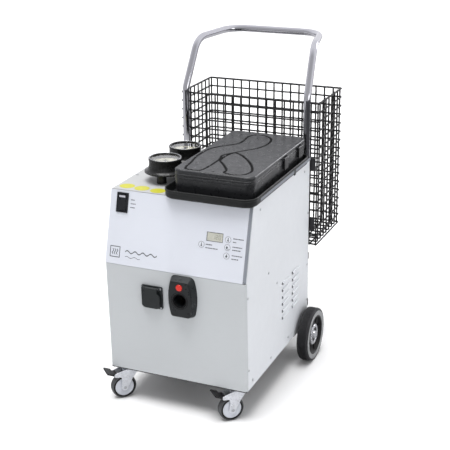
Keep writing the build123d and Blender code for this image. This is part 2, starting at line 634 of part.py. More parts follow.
def make_needle(y, name, heading):
    z0 = GAUGE_Z[1] - 10.5
    blade = rod_z(0, 0, z0, z0 + 2.5, 5)
    tip, tail = GAUGE_R - 12, -13
    shape = Polyline((tail, -2.2, z0), (tip, -0.5, z0), (tip, 0.5, z0), (tail, 2.2, z0), close=True)
    blade += extrude(make_face(shape), amount=1.0, dir=(0, 0, 1))
    blade -= rod_z(0, 0, z0 - 1, z0 + 4, 1.5 + RUN)
    parts[name] = Pos(GAUGE_X, y, 0) * Rot(0, 0, heading) * blade


# ==== controls ===============================================================================================
def make_switch():
    width, length = SWITCH_SIZE
    frame = Box(width, length, 3.0, align=(Align.CENTER, Align.CENTER, Align.MIN))
    frame += Box(width - 4, length - 4, 22.0, align=(Align.CENTER, Align.CENTER, Align.MAX))
    frame -= Pos(0, 0, -7) * Box(width - 10, length - 10, 24)
    frame -= Pos(0, 0, -5) * Rot(0, 90, 0) * Cylinder(2 + RUN, width - 7)
    parts["switch_frame"] = on_plane(FASCIA, *SWITCH_AT, 0, frame)
    half = length / 2 - 6.4
    outline = Polyline((-half, 5.5), (0, 2.0), (half, 5.5), (half, -3), (0, -9), (-half, -3), close=True)
    paddle_plane = Plane(origin=(-(width - 11) / 2, 0, 0), x_dir=(0, 1, 0), z_dir=(1, 0, 0))
    paddle = extrude(paddle_plane * make_face(outline), amount=width - 11)
    paddle += Pos(0, 0, -5) * Rot(0, 90, 0) * Cylinder(2, width - 8)
    parts["switch_rocker"] = on_plane(FASCIA, *SWITCH_AT, 0, paddle)


def make_display():
    lens = Pos(0, 0, -2.1) * Box(DISPLAY_SIZE[0] - 2.4, DISPLAY_SIZE[1] - 2.4, 3.0)
    body = Pos(0, 0, -7.2) * Box(DISPLAY_SIZE[0] + 8, DISPLAY_SIZE[1] + 6, 8.0)
    trim = Pos(0, 0, -3.4) * Box(DISPLAY_SIZE[0] - 2.4, DISPLAY_SIZE[1] - 2.4, 1.0)
    parts["display_module"] = on_plane(FASCIA, *DISPLAY_AT, 0, lens + body + trim)


def make_keys():
    for name, (x, along) in KEYS.items():
        key = Pos(0, 0, -2.2) * Cylinder(KEY_R, 5.6)
        key += Pos(0, 0, -4.8) * Cylinder(KEY_R + 1.2, 1.6)
        parts[name] = on_plane(FASCIA, x, along, 0, key)


def make_control_board():
    """Circuit board with a push contact behind each key and a few larger components on its back."""
    board_at, depth, thick = (120.0, 100.0), -16.0, 1.6
    board = on_plane(FASCIA, *board_at, depth, Box(150, 100, thick))
    for x, along in KEYS.values():
        board += on_plane(FASCIA, x, along, depth + 4.4, Box(7, 7, 8))
    for x, along, tall in ((70, 135, 8), (120, 70, 10), (100, 60, 6)):
        board += on_plane(FASCIA, x, along, depth - thick / 2 - tall / 2, Box(20, 14, tall))
    parts["control_board"] = board


# ==== socket and hose outlet =================================================================================
SOCKET_HINGE = (31.0, 10.0)      # up from the socket's centre, out from the panel
BUTTON_R = 10.0
OUTLET_CORNER = 17.0
OUTLET_TAPER = 19.0              # degrees its sides slope inwards


def make_socket():
    centre = (SOCKET_AT[0], lower_height(SOCKET_AT[1]), 0)
    frame = extrude(RectangleRounded(70, 72, 5), amount=5)
    frame += extrude(RectangleRounded(52, 52, 6), amount=-34)
    frame -= Pos(0, 0, 5) * extrude(RectangleRounded(42, 42, 5), amount=-32)
    up, out = SOCKET_HINGE
    for side in (-1, 1):
        lug = Pos(side * 26.5, up, out / 2 + 1.2) * Box(5, 7, out + 2.4)
        lug += Pos(side * 26.5, up, out) * Rot(0, 90, 0) * Cylinder(3.5, 5)
        frame += lug
        for end in (-1, 1):
            frame += Pos(side * 30, end * 31, 5.9) * Cylinder(3.4, 1.8)
    frame -= Pos(0, up, out) * Rot(0, 90, 0) * Cylinder(2, 70)
    for x, y in ((-9, 6), (9, 6), (0, -9)):
        frame += Pos(x, y, -24) * Cylinder(3, 12)
    parts["socket_frame"] = on_plane(LOWER, *centre, frame)
    flap = Pos(0, -8, 9.6) * extrude(RectangleRounded(60, 50, 13), amount=5.4)
    neck = Pos(0, 8, 9.6) * extrude(RectangleRounded(44, 50, 6), amount=5.4)
    lid = fillet(flap.edges().group_by(Axis.Z)[-1], 2.0) + fillet(neck.edges().group_by(Axis.Z)[-1], 2.0)
    lid += Pos(0, -2, 5.6) * extrude(RectangleRounded(40, 40, 5), amount=4.2)
    for side in (-1, 1):
        lid -= Pos(side * 27.5, up, 10) * Box(8.0, 9.6, 20)
    lid += Pos(0, up, out) * Rot(0, 90, 0) * Cylinder(3.5, 46)
    lid -= Pos(0, up, out) * Rot(0, 90, 0) * Cylinder(2 + RUN, 70)
    parts["socket_lid"] = on_plane(LOWER, *centre, lid)
    pin = Pos(0, up, out) * Rot(0, 90, 0) * Cylinder(2, 58)
    parts["socket_hinge_pin"] = on_plane(LOWER, *centre, pin)


def outlet_outline():
    """Barrel outline: straight top and bottom, bulging sides."""
    half_w, low, high, bulge = 35.5, -62.0, 70.0, 10.5
    middle = (low + high) / 2
    bottom = Line((-half_w, low), (half_w, low))
    right = ThreePointArc((half_w, low), (half_w + bulge, middle), (half_w, high))
    top = Line((half_w, high), (-half_w, high))
    left = ThreePointArc((-half_w, high), (-half_w - bulge, middle), (-half_w, low))
    face = make_face([bottom, right, top, left])
    return fillet(face.vertices(), OUTLET_CORNER)


def make_outlet():
    centre = (OUTLET_AT[0], lower_height(OUTLET_AT[1]), 0)
    body = extrude(outlet_outline(), amount=OUTLET_DEPTH, taper=OUTLET_TAPER)
    body = fillet(body.edges().group_by(Axis.Z)[-1], 5)
    body -= extrude(offset(outlet_outline(), -3.0), amount=OUTLET_DEPTH - 4, taper=OUTLET_TAPER)
    body -= Cylinder(PORT_R + 4, 100)
    body -= Pos(0, BUTTON_RISE, 0) * Cylinder(BUTTON_R + 0.1, 100)
    parts["outlet_housing"] = on_plane(LOWER, *centre, body)
    reach = OUTLET_DEPTH - 2.0
    port = Pos(0, 0, reach - PORT_LENGTH / 2) * Cylinder(PORT_R + 3.9, PORT_LENGTH)
    port -= Pos(0, 0, reach - PORT_LENGTH / 2) * Cylinder(PORT_R, PORT_LENGTH + 2)
    parts["hose_port"] = on_plane(LOWER, *centre, port)
    button = Pos(0, BUTTON_RISE, OUTLET_DEPTH - 4) * Cylinder(BUTTON_R, 15)
    button = fillet(button.edges().group_by(Axis.Z)[-1], 2)
    button += Pos(0, BUTTON_RISE, OUTLET_DEPTH - 6.8) * Cylinder(BUTTON_R + 1.4, 4)
    parts["release_button"] = on_plane(LOWER, *centre, button)


# ==== inside =================================================================================================
BOILER_AT = (-95.0, 60.0)
BOILER_R = 92.0
BOILER_Z = (175.0, 445.0)
BOILER_WALL = 3.0
BOILER_DOME = 38.0               # radius of its rounded ends
BOILER_FOOT_R = 7.0
ELEMENT_FLANGE_R = 42.0
ELEMENT_R = 5.0
TANK_X = (25.0, 205.0)
TANK_Y = (60.0, 255.0)
TANK_Z = (330.0, 600.0)
TANK_WALL = 3.0
TANK_CORNER = 14.0
NECK_AT = (60.0, 90.0)
NECK_R = (20.0, 16.0)
MOTOR_AT = (120.0, 160.0)
MOTOR_STEPS = [(80.0, BOTTOM_Z + SHEET, 150.0), (66.0, 150.0, 235.0), (28.0, 235.0, 262.0)]
PUMP_X = 120.0
PUMP_Z = 160.0
PIPE_R = 6.0
PIPE_Z = 477.0


def make_boiler():
    x, y = BOILER_AT
    z0, z1 = BOILER_Z
    outer = rod_z(x, y, z0, z1, BOILER_R)
    outer = fillet(outer.edges().filter_by(GeomType.CIRCLE), BOILER_DOME)
    inner = rod_z(x, y, z0 + BOILER_WALL, z1 - BOILER_WALL, BOILER_R - BOILER_WALL)
    inner = fillet(inner.edges().filter_by(GeomType.CIRCLE), BOILER_DOME - BOILER_WALL)
    shell = outer - inner - rod_z(x, y, z0 - 5, z0 + 10, 30)
    reach = 62.0
    for turn in (45, 135, 225, 315):
        angle = turn * pi / 180
        foot = rod_z(x + reach * cos(angle), y + reach * sin(angle), BOTTOM_Z + SHEET, z0 + 22, BOILER_FOOT_R)
        shell += foot - inner
    parts["boiler"] = shell
    half, low, high = 14.0, z0 - 8, z0 + 130
    loop = FilletPolyline((x - half, y, low), (x - half, y, high), (x + half, y, high), (x + half, y, low),
                          radius=12)
    element = rod_z(x, y, low, z0, ELEMENT_FLANGE_R)
    element += sweep(Plane(origin=(x - half, y, low), z_dir=(0, 0, 1)) * Circle(ELEMENT_R), path=loop)
    parts["heating_element"] = element


def make_tank_and_pumps():
    (x0, x1), (y0, y1), (z0, z1), wall = TANK_X, TANK_Y, TANK_Z, TANK_WALL
    tank = rounded_block(x0, x1, y0, y1, z0, z1, TANK_CORNER)
    tank -= rounded_block(x0 + wall, x1 - wall, y0 + wall, y1 - wall, z0 + wall, z1 - wall, TANK_CORNER - wall)
    tank += rod_z(*NECK_AT, z1, z1 + 15, NECK_R[0])
    tank -= rod_z(*NECK_AT, z1 - 10, z1 + 20, NECK_R[1])
    for rail_y in (y0 + 15, y1 - 15):
        tank += block(x0, x1, rail_y - 4, rail_y + 4, z0 - 30, z0)
    parts["water_tank"] = tank
    steps = [rod_z(*MOTOR_AT, low, high, radius) for radius, low, high in MOTOR_STEPS]
    parts["vacuum_motor"] = steps[0] + steps[1] + steps[2]
    pump = rod_y(PUMP_X, -120, -20, PUMP_Z, 30) + rod_y(PUMP_X, -170, -120, PUMP_Z, 20)
    pump += block(PUMP_X - 25, PUMP_X + 25, -110, -30, BOTTOM_Z + SHEET, PUMP_Z)
    parts["feed_pump"] = pump


def pipe(points, bend, direction):
    """Round pipe along a bent line, starting at its first point in the given direction."""
    start = Plane(origin=points[0], z_dir=direction)
    return sweep(start * Circle(PIPE_R), path=FilletPolyline(*points, radius=bend))


def make_steam_valve():
    """Valve block over the boiler, with the pipe up from the boiler and the pipe on to the hose port."""
    x, boiler_y = BOILER_AT[0], 25.0
    valve_y = (-60.0, -25.0)
    body = block(x - 15, x + 15, *valve_y, PIPE_Z - 15, PIPE_Z + 15)
    body += rod_z(x, (valve_y[0] + valve_y[1]) / 2, PIPE_Z + 15, PIPE_Z + 55, 14)
    body += pipe([(x, boiler_y, BOILER_Z[1] + 1), (x, boiler_y, PIPE_Z), (x, valve_y[1] - 2, PIPE_Z)], 14,
                 (0, 0, 1))
    front_y, port_x, port_y, port_z = -150.0, OUTLET_AT[0], -236.0, 391.0
    body += pipe([(x, valve_y[0] + 1, PIPE_Z), (x, front_y, PIPE_Z), (port_x, front_y, PIPE_Z),
                  (port_x, front_y, port_z), (port_x, port_y, port_z)], 16, (0, -1, 0))
    parts["steam_valve"] = body


# ==== build and save =========================================================================================
def build_all():
    make_base_pan()
    make_front_panel()
    make_control_fascia()
    make_side_panel(-1, "side_panel_left")
    make_side_panel(1, "side_panel_right")
    make_top_panel()
    make_rear_panel()
    make_panel_screws()
    make_push_handle()
    make_handle_clamps()
    make_wire_basket()
    make_basket_brackets()
    make_axle()
    make_caster_plates()
    for side, tag in ((-1, "left"), (1, "right")):
        make_rear_wheel(side, tag)
        make_fork(side, tag)
        make_caster_wheel(side, tag)
        make_brake_pedal(side, tag)
    make_case_tray()
    make_accessory_case()
    for y, end in zip(LATCH_Y, ("front", "rear")):
        make_latch(y, f"case_latch_{end}")
    make_gauges()
    for y, end, heading in zip(GAUGE_Y, ("front", "rear"), (215, 235)):
        make_needle(y, f"gauge_needle_{end}", heading)
    make_switch()
    make_display()
    make_keys()
    make_control_board()
    make_socket()
    make_outlet()
    make_boiler()
    make_tank_and_pumps()
    make_steam_valve()


def save_all():
    """Centre the machine's overall length on the origin and write one file per sub-part."""
    boxes = [solid.bounding_box() for part in parts.values() for solid in part.solids()]
    lows = [box.min.Y for box in boxes]
    highs = [box.max.Y for box in boxes]
    shift = -(min(lows) + max(highs)) / 2
    print("length shift", round(shift, 4))
    os.makedirs("parts", exist_ok=True)
    for name, part in parts.items():
        placed = [Pos(0, shift, 0) * solid for solid in part.solids()]
        export_step(placed[0] if len(placed) == 1 else Compound(children=placed), f"parts/{name}.step")


build_all()
save_all()
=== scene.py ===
import json
import random
from math import atan2, cos, hypot, pi, radians, sin, sqrt

import bpy
from mathutils import Matrix, Vector


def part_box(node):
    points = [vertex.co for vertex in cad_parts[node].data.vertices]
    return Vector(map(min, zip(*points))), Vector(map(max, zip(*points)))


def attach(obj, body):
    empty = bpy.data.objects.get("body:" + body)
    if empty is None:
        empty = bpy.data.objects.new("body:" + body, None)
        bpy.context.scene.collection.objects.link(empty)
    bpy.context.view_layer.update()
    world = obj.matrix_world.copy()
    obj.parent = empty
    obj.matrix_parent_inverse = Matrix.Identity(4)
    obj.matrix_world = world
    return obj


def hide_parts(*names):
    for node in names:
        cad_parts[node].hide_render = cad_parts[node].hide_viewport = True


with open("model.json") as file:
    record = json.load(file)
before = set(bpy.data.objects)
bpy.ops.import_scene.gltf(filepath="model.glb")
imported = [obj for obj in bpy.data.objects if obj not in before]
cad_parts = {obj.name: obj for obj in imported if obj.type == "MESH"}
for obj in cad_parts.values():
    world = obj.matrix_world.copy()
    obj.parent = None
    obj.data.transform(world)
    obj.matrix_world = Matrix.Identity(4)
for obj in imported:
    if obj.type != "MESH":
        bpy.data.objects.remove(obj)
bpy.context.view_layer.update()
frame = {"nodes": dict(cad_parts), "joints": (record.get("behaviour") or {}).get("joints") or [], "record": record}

# Looks of a wheeled steam and vacuum cleaner.  Lengths below are in millimetres in the cabinet's own frame: X across,
# Y from the middle of the cabinet's depth, Z up from the floor.  spot() turns them into the frame's metres.
random.seed(7)

MM = 0.001
HALF_DEPTH = 275.0
HALF_WIDTH = 230.0
KNEE_Z = 465.5
MIDDLE_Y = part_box("rear_panel")[1].y / MM - HALF_DEPTH


def spot(x, y, z):
    """Point of the cabinet's frame in metres."""
    return Vector((x, y + MIDDLE_Y, z)) * MM


def node_box(node):
    """Lowest and highest corner of a CAD node, in the cabinet's millimetres."""
    low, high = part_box(node)
    shift = Vector((0, MIDDLE_Y, 0))
    return low / MM - shift, high / MM - shift


class Slope:
    """Sloping front: at(x, up, out) is a point given across, up the slope from the fold, and outwards."""

    def __init__(self, rise, run):
        length = hypot(rise, run)
        self.up = Vector((0, run / length, rise / length))
        self.out = Vector((0, -rise / length, run / length))

    def at(self, x, up, out=0.0):
        point = Vector((x, -HALF_DEPTH, KNEE_Z)) + self.up * up + self.out * out
        return spot(*point)


FASCIA = Slope(217.5, 58.0)
LOWER = Slope(352.5, -10.0)


# ---- materials -------------------------------------------------------------------------------------------------
class Nodes:
    """Short hand for building one node material in object coordinates."""

    def __init__(self, name):
        self.material = bpy.data.materials.new(name)
        self.material.use_nodes = True
        self.tree = self.material.node_tree
        self.shader = self.tree.nodes["Principled BSDF"]
        self.place = self.add("ShaderNodeTexCoord").outputs["Object"]

    def add(self, kind, **settings):
        node = self.tree.nodes.new(kind)
        for key, value in settings.items():
            setattr(node, key, value)
        return node

    def link(self, source, target):
        self.tree.links.new(source, target)

    def noise(self, scale, detail=3.0, stretch=None):
        node = self.add("ShaderNodeTexNoise")
        node.inputs["Scale"].default_value = scale
        node.inputs["Detail"].default_value = detail
        if stretch:
            mapping = self.add("ShaderNodeMapping")
            mapping.inputs["Scale"].default_value = stretch
            self.link(self.place, mapping.inputs["Vector"])
            self.link(mapping.outputs["Vector"], node.inputs["Vector"])
        else:
            self.link(self.place, node.inputs["Vector"])
        return node.outputs["Fac"]

    def spread(self, source, low, high, start=0.3, end=0.7):
        """Maps a 0..1 pattern between two numbers."""
        node = self.add("ShaderNodeMapRange")
        node.inputs["From Min"].default_value = start
        node.inputs["From Max"].default_value = end
        node.inputs["To Min"].default_value = low
        node.inputs["To Max"].default_value = high
        self.link(source, node.inputs["Value"])
        return node.outputs["Result"]

    def blend(self, share, first, second):
        """Colour between two colours; each is a tuple or a socket, and so is share a number or a socket."""
        node = self.add("ShaderNodeMix", data_type="RGBA")
        for key, value in (("Factor", share), ("A", first), ("B", second)):
            socket = [s for s in node.inputs if s.name == key and s.type == ("VALUE" if key == "Factor" else "RGBA")][0]
            if isinstance(value, bpy.types.NodeSocket):
                self.link(value, socket)
            else:
                socket.default_value = value if key == "Factor" else (*value, 1.0)
        return [s for s in node.outputs if s.type == "RGBA"][0]

    def relief(self, height, depth, strength, rounding=0.0):
        """Bump from a height pattern, with edges softened by the rounding radius in metres."""
        bump = self.add("ShaderNodeBump")
        bump.inputs["Distance"].default_value = depth
        bump.inputs["Strength"].default_value = strength
        self.link(height, bump.inputs["Height"])
        if rounding:
            bevel = self.add("ShaderNodeBevel", samples=4)
            bevel.inputs["Radius"].default_value = rounding
            self.link(bevel.outputs["Normal"], bump.inputs["Normal"])
        self.link(bump.outputs["Normal"], self.shader.inputs["Normal"])

    def edge_wear(self, radius, sharpness=6.0):
        """1 along edges, 0 on flats."""
        bevel = self.add("ShaderNodeBevel", samples=4)
        bevel.inputs["Radius"].default_value = radius
        geometry = self.add("ShaderNodeNewGeometry")
        dot = self.add("ShaderNodeVectorMath", operation="DOT_PRODUCT")
        self.link(bevel.outputs["Normal"], dot.inputs[0])
        self.link(geometry.outputs["Normal"], dot.inputs[1])
        return self.spread(dot.outputs["Value"], 1.0, 0.0, 1.0 - 1.0 / sharpness, 1.0)

    def put(self, **inputs):
        names = {"colour": "Base Color", "rough": "Roughness", "metal": "Metallic", "coat": "Coat Weight",
                 "specular": "Specular IOR Level", "clear": "Transmission Weight", "ior": "IOR",
                 "coat_rough": "Coat Roughness", "glow": "Emission Color", "glow_power": "Emission Strength"}
        for key, value in inputs.items():
            socket = self.shader.inputs[names[key]]
            if isinstance(value, bpy.types.NodeSocket):
                self.link(value, socket)
            else:
                socket.default_value = (*value, 1.0) if isinstance(value, tuple) else value


def shade(colour, factor):
    return tuple(min(1.0, c * factor) for c in colour)


def powder_coat(name, colour, rough=0.42, wear=0.15):
    """Sprayed sheet metal: orange peel, slight tone drift, handling marks and rubbed edges."""
    m = Nodes(name)
    drift = m.spread(m.noise(3.5, 2.0), 0.0, 1.0)
    base = m.blend(drift, shade(colour, 0.965), shade(colour, 1.02))
    scuff = m.spread(m.noise(26.0, 8.0, (1.0, 1.0, 5.0)), 0.0, 0.22, 0.6, 0.8)
    base = m.blend(scuff, base, shade(colour, 0.86))
    edge = m.spread(m.edge_wear(0.0012), 0.0, wear, 0.2, 1.0)
    base = m.blend(edge, base, shade(colour, 1.12))
    m.put(colour=base, rough=m.spread(m.noise(40.0, 4.0), rough - 0.05, rough + 0.09), specular=0.45)
    m.relief(m.noise(900.0, 1.0), 0.00006, 0.35, 0.0008)
    return m.material


def moulded_plastic(name, colour, rough=0.42, grain=1400.0, relief=0.5, specular=0.5, rounding=0.0008):
    """Moulded plastic: fine spark-eroded grain, dull and shinier patches, paler rubbed edges."""
    m = Nodes(name)
    drift = m.spread(m.noise(14.0, 4.0), 0.0, 1.0)
    base = m.blend(drift, shade(colour, 0.85), shade(colour, 1.15))
    edge = m.spread(m.edge_wear(0.001), 0.0, 0.35, 0.3, 1.0)
    base = m.blend(edge, base, shade(colour, 1.9))
    m.put(colour=base, rough=m.spread(m.noise(55.0, 5.0), rough - 0.07, rough + 0.1), specular=specular)
    m.relief(m.noise(grain, 2.0), 0.00008, relief, rounding)
    return m.material


def rubber(name, colour, rough=0.62):
    """Rubber with a dusty bloom in random patches."""
    m = Nodes(name)
    dust = m.spread(m.noise(60.0, 6.0), 0.0, 0.35, 0.45, 0.75)
    base = m.blend(dust, colour, shade(colour, 1.9))
    m.put(colour=base, rough=m.spread(m.noise(90.0, 4.0), rough - 0.06, rough + 0.12), specular=0.35)
    m.relief(m.noise(1600.0, 3.0), 0.0001, 0.6, 0.0006)
    return m.material


def chrome(name, colour=(0.60, 0.60, 0.635), rough=0.07):
    """Plated tube: finger smears, faint drawn lines along its length."""
    m = Nodes(name)
    smear = m.spread(m.noise(18.0, 6.0), rough * 0.6, rough * 2.2, 0.35, 0.75)
    tone = m.blend(m.spread(m.noise(9.0, 3.0), 0.0, 1.0), shade(colour, 0.93), colour)
    m.put(colour=tone, metal=1.0, rough=smear)
    m.relief(m.noise(420.0, 2.0, (1.0, 1.0, 0.05)), 0.00003, 0.2)
    return m.material


def zinc_plate(name, colour=(0.74, 0.76, 0.80), rough=0.34):
    """Zinc-plated pressing: cloudy spangle and brushed grain."""
    m = Nodes(name)
    cells = m.add("ShaderNodeTexVoronoi")
    cells.inputs["Scale"].default_value = 130.0
    m.link(m.place, cells.inputs["Vector"])
    tone = m.blend(m.spread(cells.outputs["Distance"], 0.0, 1.0, 0.0, 0.8), shade(colour, 0.88), shade(colour, 1.06))
    m.put(colour=tone, metal=0.75, rough=m.spread(m.noise(200.0, 4.0), rough - 0.08, rough + 0.12))
    m.relief(m.noise(700.0, 2.0, (1.0, 1.0, 0.2)), 0.00004, 0.4, 0.0006)
    return m.material


def paper_print(name, colour, rough=0.55):
    """Printed film or card: slightly uneven ink, soft mottling."""
    m = Nodes(name)
    tone = m.blend(m.spread(m.noise(160.0, 4.0), 0.0, 1.0), shade(colour, 0.93), shade(colour, 1.04))
    m.put(colour=tone, rough=m.spread(m.noise(80.0, 2.0), rough - 0.05, rough + 0.08), specular=0.4)
    m.relief(m.noise(2200.0, 1.0), 0.00002, 0.3)
    return m.material


def clear_glass(name):
    """Gauge window with a light haze of finger marks."""
    m = Nodes(name)
    m.put(colour=(0.97, 0.98, 0.98), clear=1.0, ior=1.45, rough=m.spread(m.noise(70.0, 5.0), 0.0, 0.12, 0.5, 0.8))
    m.relief(m.noise(30.0, 1.0), 0.00002, 0.1)
    shadow = m.add("ShaderNodeLightPath")
    clear = m.add("ShaderNodeBsdfTransparent")
    mix = m.add("ShaderNodeMixShader")
    output = m.tree.nodes["Material Output"]
    m.link(shadow.outputs["Is Shadow Ray"], mix.inputs["Fac"])
    m.link(m.shader.outputs["BSDF"], mix.inputs[1])
    m.link(clear.outputs["BSDF"], mix.inputs[2])
    m.link(mix.outputs["Shader"], output.inputs["Surface"])
    return m.material


def lcd(name, colour=(0.46, 0.46, 0.40)):
    """Liquid crystal window: fine pixel grid under a semi-gloss film."""
    m = Nodes(name)
    grid = m.add("ShaderNodeTexBrick", offset=0.0, squash=1.0)
    grid.inputs["Color1"].default_value = (*colour, 1.0)
    grid.inputs["Color2"].default_value = (*shade(colour, 1.03), 1.0)
    grid.inputs["Mortar"].default_value = (*shade(colour, 0.86), 1.0)
    grid.inputs["Scale"].default_value = 900.0
    grid.inputs["Mortar Size"].default_value = 0.06
    m.link(m.place, grid.inputs["Vector"])
    tone = m.blend(m.spread(m.noise(40.0, 2.0), 0.0, 0.4), grid.outputs["Color"], shade(colour, 1.15))
    m.put(colour=tone, rough=m.spread(m.noise(120.0, 3.0), 0.18, 0.32), coat=0.5)
    m.relief(m.noise(50.0, 1.0), 0.00002, 0.1)
    return m.material


def tinned_steel(name, colour=(0.55, 0.56, 0.58), rough=0.38, metal=0.9):
    """Bare machined or welded steel with turned marks."""
    m = Nodes(name)
    tone = m.blend(m.spread(m.noise(35.0, 5.0), 0.0, 1.0), shade(colour, 0.82), shade(colour, 1.1))
    m.put(colour=tone, metal=metal, rough=m.spread(m.noise(90.0, 4.0), rough - 0.1, rough + 0.12))
    m.relief(m.noise(1100.0, 2.0, (1.0, 1.0, 0.1)), 0.00004, 0.4, 0.0005)
    return m.material


MATERIALS = {
    "steel_dark": powder_coat("steel_dark", (0.030, 0.031, 0.034), 0.5),
    # panel_grey is the same grey-white paint as panel_light, given darker as painted shade.
    "panel_grey": powder_coat("panel_grey", (0.455, 0.475, 0.49), 0.46),
    "panel_light": powder_coat("panel_light", (0.63, 0.65, 0.68), 0.46),
    "fascia_white": powder_coat("fascia_white", (0.565, 0.585, 0.64), 0.36, 0.05),
    "screw_steel": tinned_steel("screw_steel"),
    "chrome_tube": chrome("chrome_tube"),
    "black_metal": powder_coat("black_metal", (0.018, 0.018, 0.02), 0.42),
    "basket_black": powder_coat("basket_black", (0.003, 0.003, 0.0035), 0.6),
    "tray_black": moulded_plastic("tray_black", (0.011, 0.012, 0.012), 0.38, 1500.0, 0.4, 0.3),
    "gauge_black": moulded_plastic("gauge_black", (0.009, 0.009, 0.009), 0.26, 1800.0, 0.2, 0.3),
    "dial_cream": paper_print("dial_cream", (0.33, 0.315, 0.24)),
    "gauge_glass": clear_glass("gauge_glass"),
    "switch_black": moulded_plastic("switch_black", (0.010, 0.011, 0.014), 0.3, 2000.0, 0.3, 0.3),
    "display_grey": lcd("display_grey"),
    "board_green": moulded_plastic("board_green", (0.01, 0.10, 0.04), 0.4),
    "socket_black": moulded_plastic("socket_black", (0.016, 0.019, 0.02), 0.4, 1500.0, 0.5, 0.3),
    "outlet_black": moulded_plastic("outlet_black", (0.010, 0.012, 0.013), 0.3, 2400.0, 0.15, 0.35, 0.0),
    "zinc": zinc_plate("zinc", (0.80, 0.82, 0.86)),
    "boiler_steel": tinned_steel("boiler_steel", (0.6, 0.6, 0.61), 0.3),
    "tank_white": moulded_plastic("tank_white", (0.72, 0.72, 0.69), 0.5, 900.0, 0.4),
    "brass_parts": tinned_steel("brass_parts", (0.62, 0.45, 0.18), 0.32),
    "motor_black": moulded_plastic("motor_black", (0.02, 0.02, 0.022), 0.5),
    "needle_black": paper_print("needle_black", (0.012, 0.012, 0.013)),
    "key_white": paper_print("key_white", (0.60, 0.62, 0.67), 0.42),
    "button_red": moulded_plastic("button_red", (0.52, 0.016, 0.008), 0.26, 1800.0, 0.2),
    "case_black": moulded_plastic("case_black", (0.018, 0.019, 0.021), 0.3, 1200.0, 0.3, 0.5),
    "latch_black": moulded_plastic("latch_black", (0.009, 0.009, 0.010), 0.28, 1800.0, 0.3, 0.3),
    "tyre_rubber": rubber("tyre_rubber", (0.016, 0.016, 0.018)),
    "rim_black": moulded_plastic("rim_black", (0.006, 0.006, 0.006), 0.4, 1400.0, 0.4, 0.25),
    "cap_silver": zinc_plate("cap_silver", (0.50, 0.51, 0.53), 0.24),
    "caster_white": moulded_plastic("caster_white", (0.50, 0.52, 0.57), 0.34, 1500.0, 0.3),
    "caster_grey": rubber("caster_grey", (0.075, 0.078, 0.082), 0.55),
    "pedal_black": moulded_plastic("pedal_black", (0.008, 0.008, 0.009), 0.42, 1400.0, 0.4, 0.25),
}
INK = paper_print("ink_grey", (0.085, 0.09, 0.10), 0.5)
STICKER = paper_print("sticker_yellow", (0.50, 0.48, 0.04), 0.42)
SIDEWALL = rubber("sidewall_grey", (0.26, 0.265, 0.27), 0.5)
# Near-black with no sheen: painted shade, laid in the lid's groove bottoms and round the hose port.
SHADE_BLACK = moulded_plastic("painted_shade_black", (0.004, 0.004, 0.004), 0.6, 1200.0, 0.3, 0.1)
TOP_SHEET = powder_coat("top_sheet", (0.44, 0.445, 0.45), 0.46)
# Dark grey for the recessed strip beside the fascia; on the tray's right wall it is painted sheen.
STRIP_GREY = powder_coat("strip_grey", (0.20, 0.215, 0.245), 0.5)
PALE_MARK = paper_print("pale_mark", (0.42, 0.42, 0.47), 0.4)


# ---- mesh helpers ----------------------------------------------------------------------------------------------
def new_piece(name, points, faces, slot, body, material=None, angle=35.0, placed=False):
    """Mesh piece from cabinet-frame millimetre points (metres when placed), riding on a CAD body."""
    mesh = bpy.data.meshes.new(name)
    places = points if placed else [spot(*p) for p in points]
    mesh.from_pydata([tuple(p) for p in places], [], faces)
    mesh.validate()
    mesh.update()
    mesh.polygons.foreach_set("use_smooth", [True] * len(mesh.polygons))
    mesh.set_sharp_from_angle(angle=radians(angle))
    mesh.materials.append(material or MATERIALS[slot])
    piece = bpy.data.objects.new(name, mesh)
    bpy.context.scene.collection.objects.link(piece)
    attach(piece, body)
    return piece


class Builder:
    """Collects several closed shapes into one piece."""

    def __init__(self):
        self.points = []
        self.faces = []

    def add(self, points, faces):
        start = len(self.points)
        self.points += points
        self.faces += [tuple(i + start for i in face) for face in faces]

    def piece(self, name, slot, body, **more):
        return new_piece(name, self.points, self.faces, slot, body, **more)


def rounded_path(corners, radius, steps=6, closed=False):
    """Points along a bent line whose corners are arcs of the given radius."""
    corners = [Vector(c) for c in corners]
    count = len(corners)
    path = []
    for i, corner in enumerate(corners):
        if not closed and i in (0, count - 1):
            path.append(corner)
            continue
        before = (corners[i - 1] - corner).normalized()
        after = (corners[(i + 1) % count] - corner).normalized()
        half = before.angle(after) / 2
        reach = radius / max(1e-6, sin(half) / cos(half))
        centre = corner + (before + after).normalized() * (radius / sin(half))
        start, end = corner + before * reach - centre, corner + after * reach - centre
        turn = start.angle(end)
        for k in range(steps + 1):
            share = k / steps
            point = (start * sin((1 - share) * turn) + end * sin(share * turn)) / sin(turn)
            path.append(centre + point)
    return path


def tube(path, radius, sides=10, closed=False):
    """Round bar along a path, with flat ends."""
    count = len(path)
    points, faces = [], []
    tangents = []
    for i in range(count):
        after = path[(i + 1) % count] if closed or i < count - 1 else path[i]
        before = path[i - 1] if closed or i > 0 else path[i]
        tangents.append((after - before).normalized())
    normal = tangents[0].orthogonal().normalized()
    for i in range(count):
        normal = (normal - tangents[i] * normal.dot(tangents[i])).normalized()
        across = tangents[i].cross(normal)
        for k in range(sides):
            angle = 2 * pi * k / sides
            points.append(path[i] + (normal * cos(angle) + across * sin(angle)) * radius)
    rings = count if closed else count - 1
    shift = 0
    if closed:
        last = points[-sides:]
        shift = min(range(sides), key=lambda s: (last[s] - points[0]).length)
    for i in range(rings):
        a, b = i * sides, ((i + 1) % count) * sides
        skew = shift if closed and i == count - 1 else 0
        for k in range(sides):
            k2 = (k + 1) % sides
            faces.append((a + (k + skew) % sides, a + (k2 + skew) % sides, b + k2, b + k))
    if not closed:
        faces.append(tuple(reversed(range(sides))))
        faces.append(tuple(range((count - 1) * sides, count * sides)))
    return points, faces


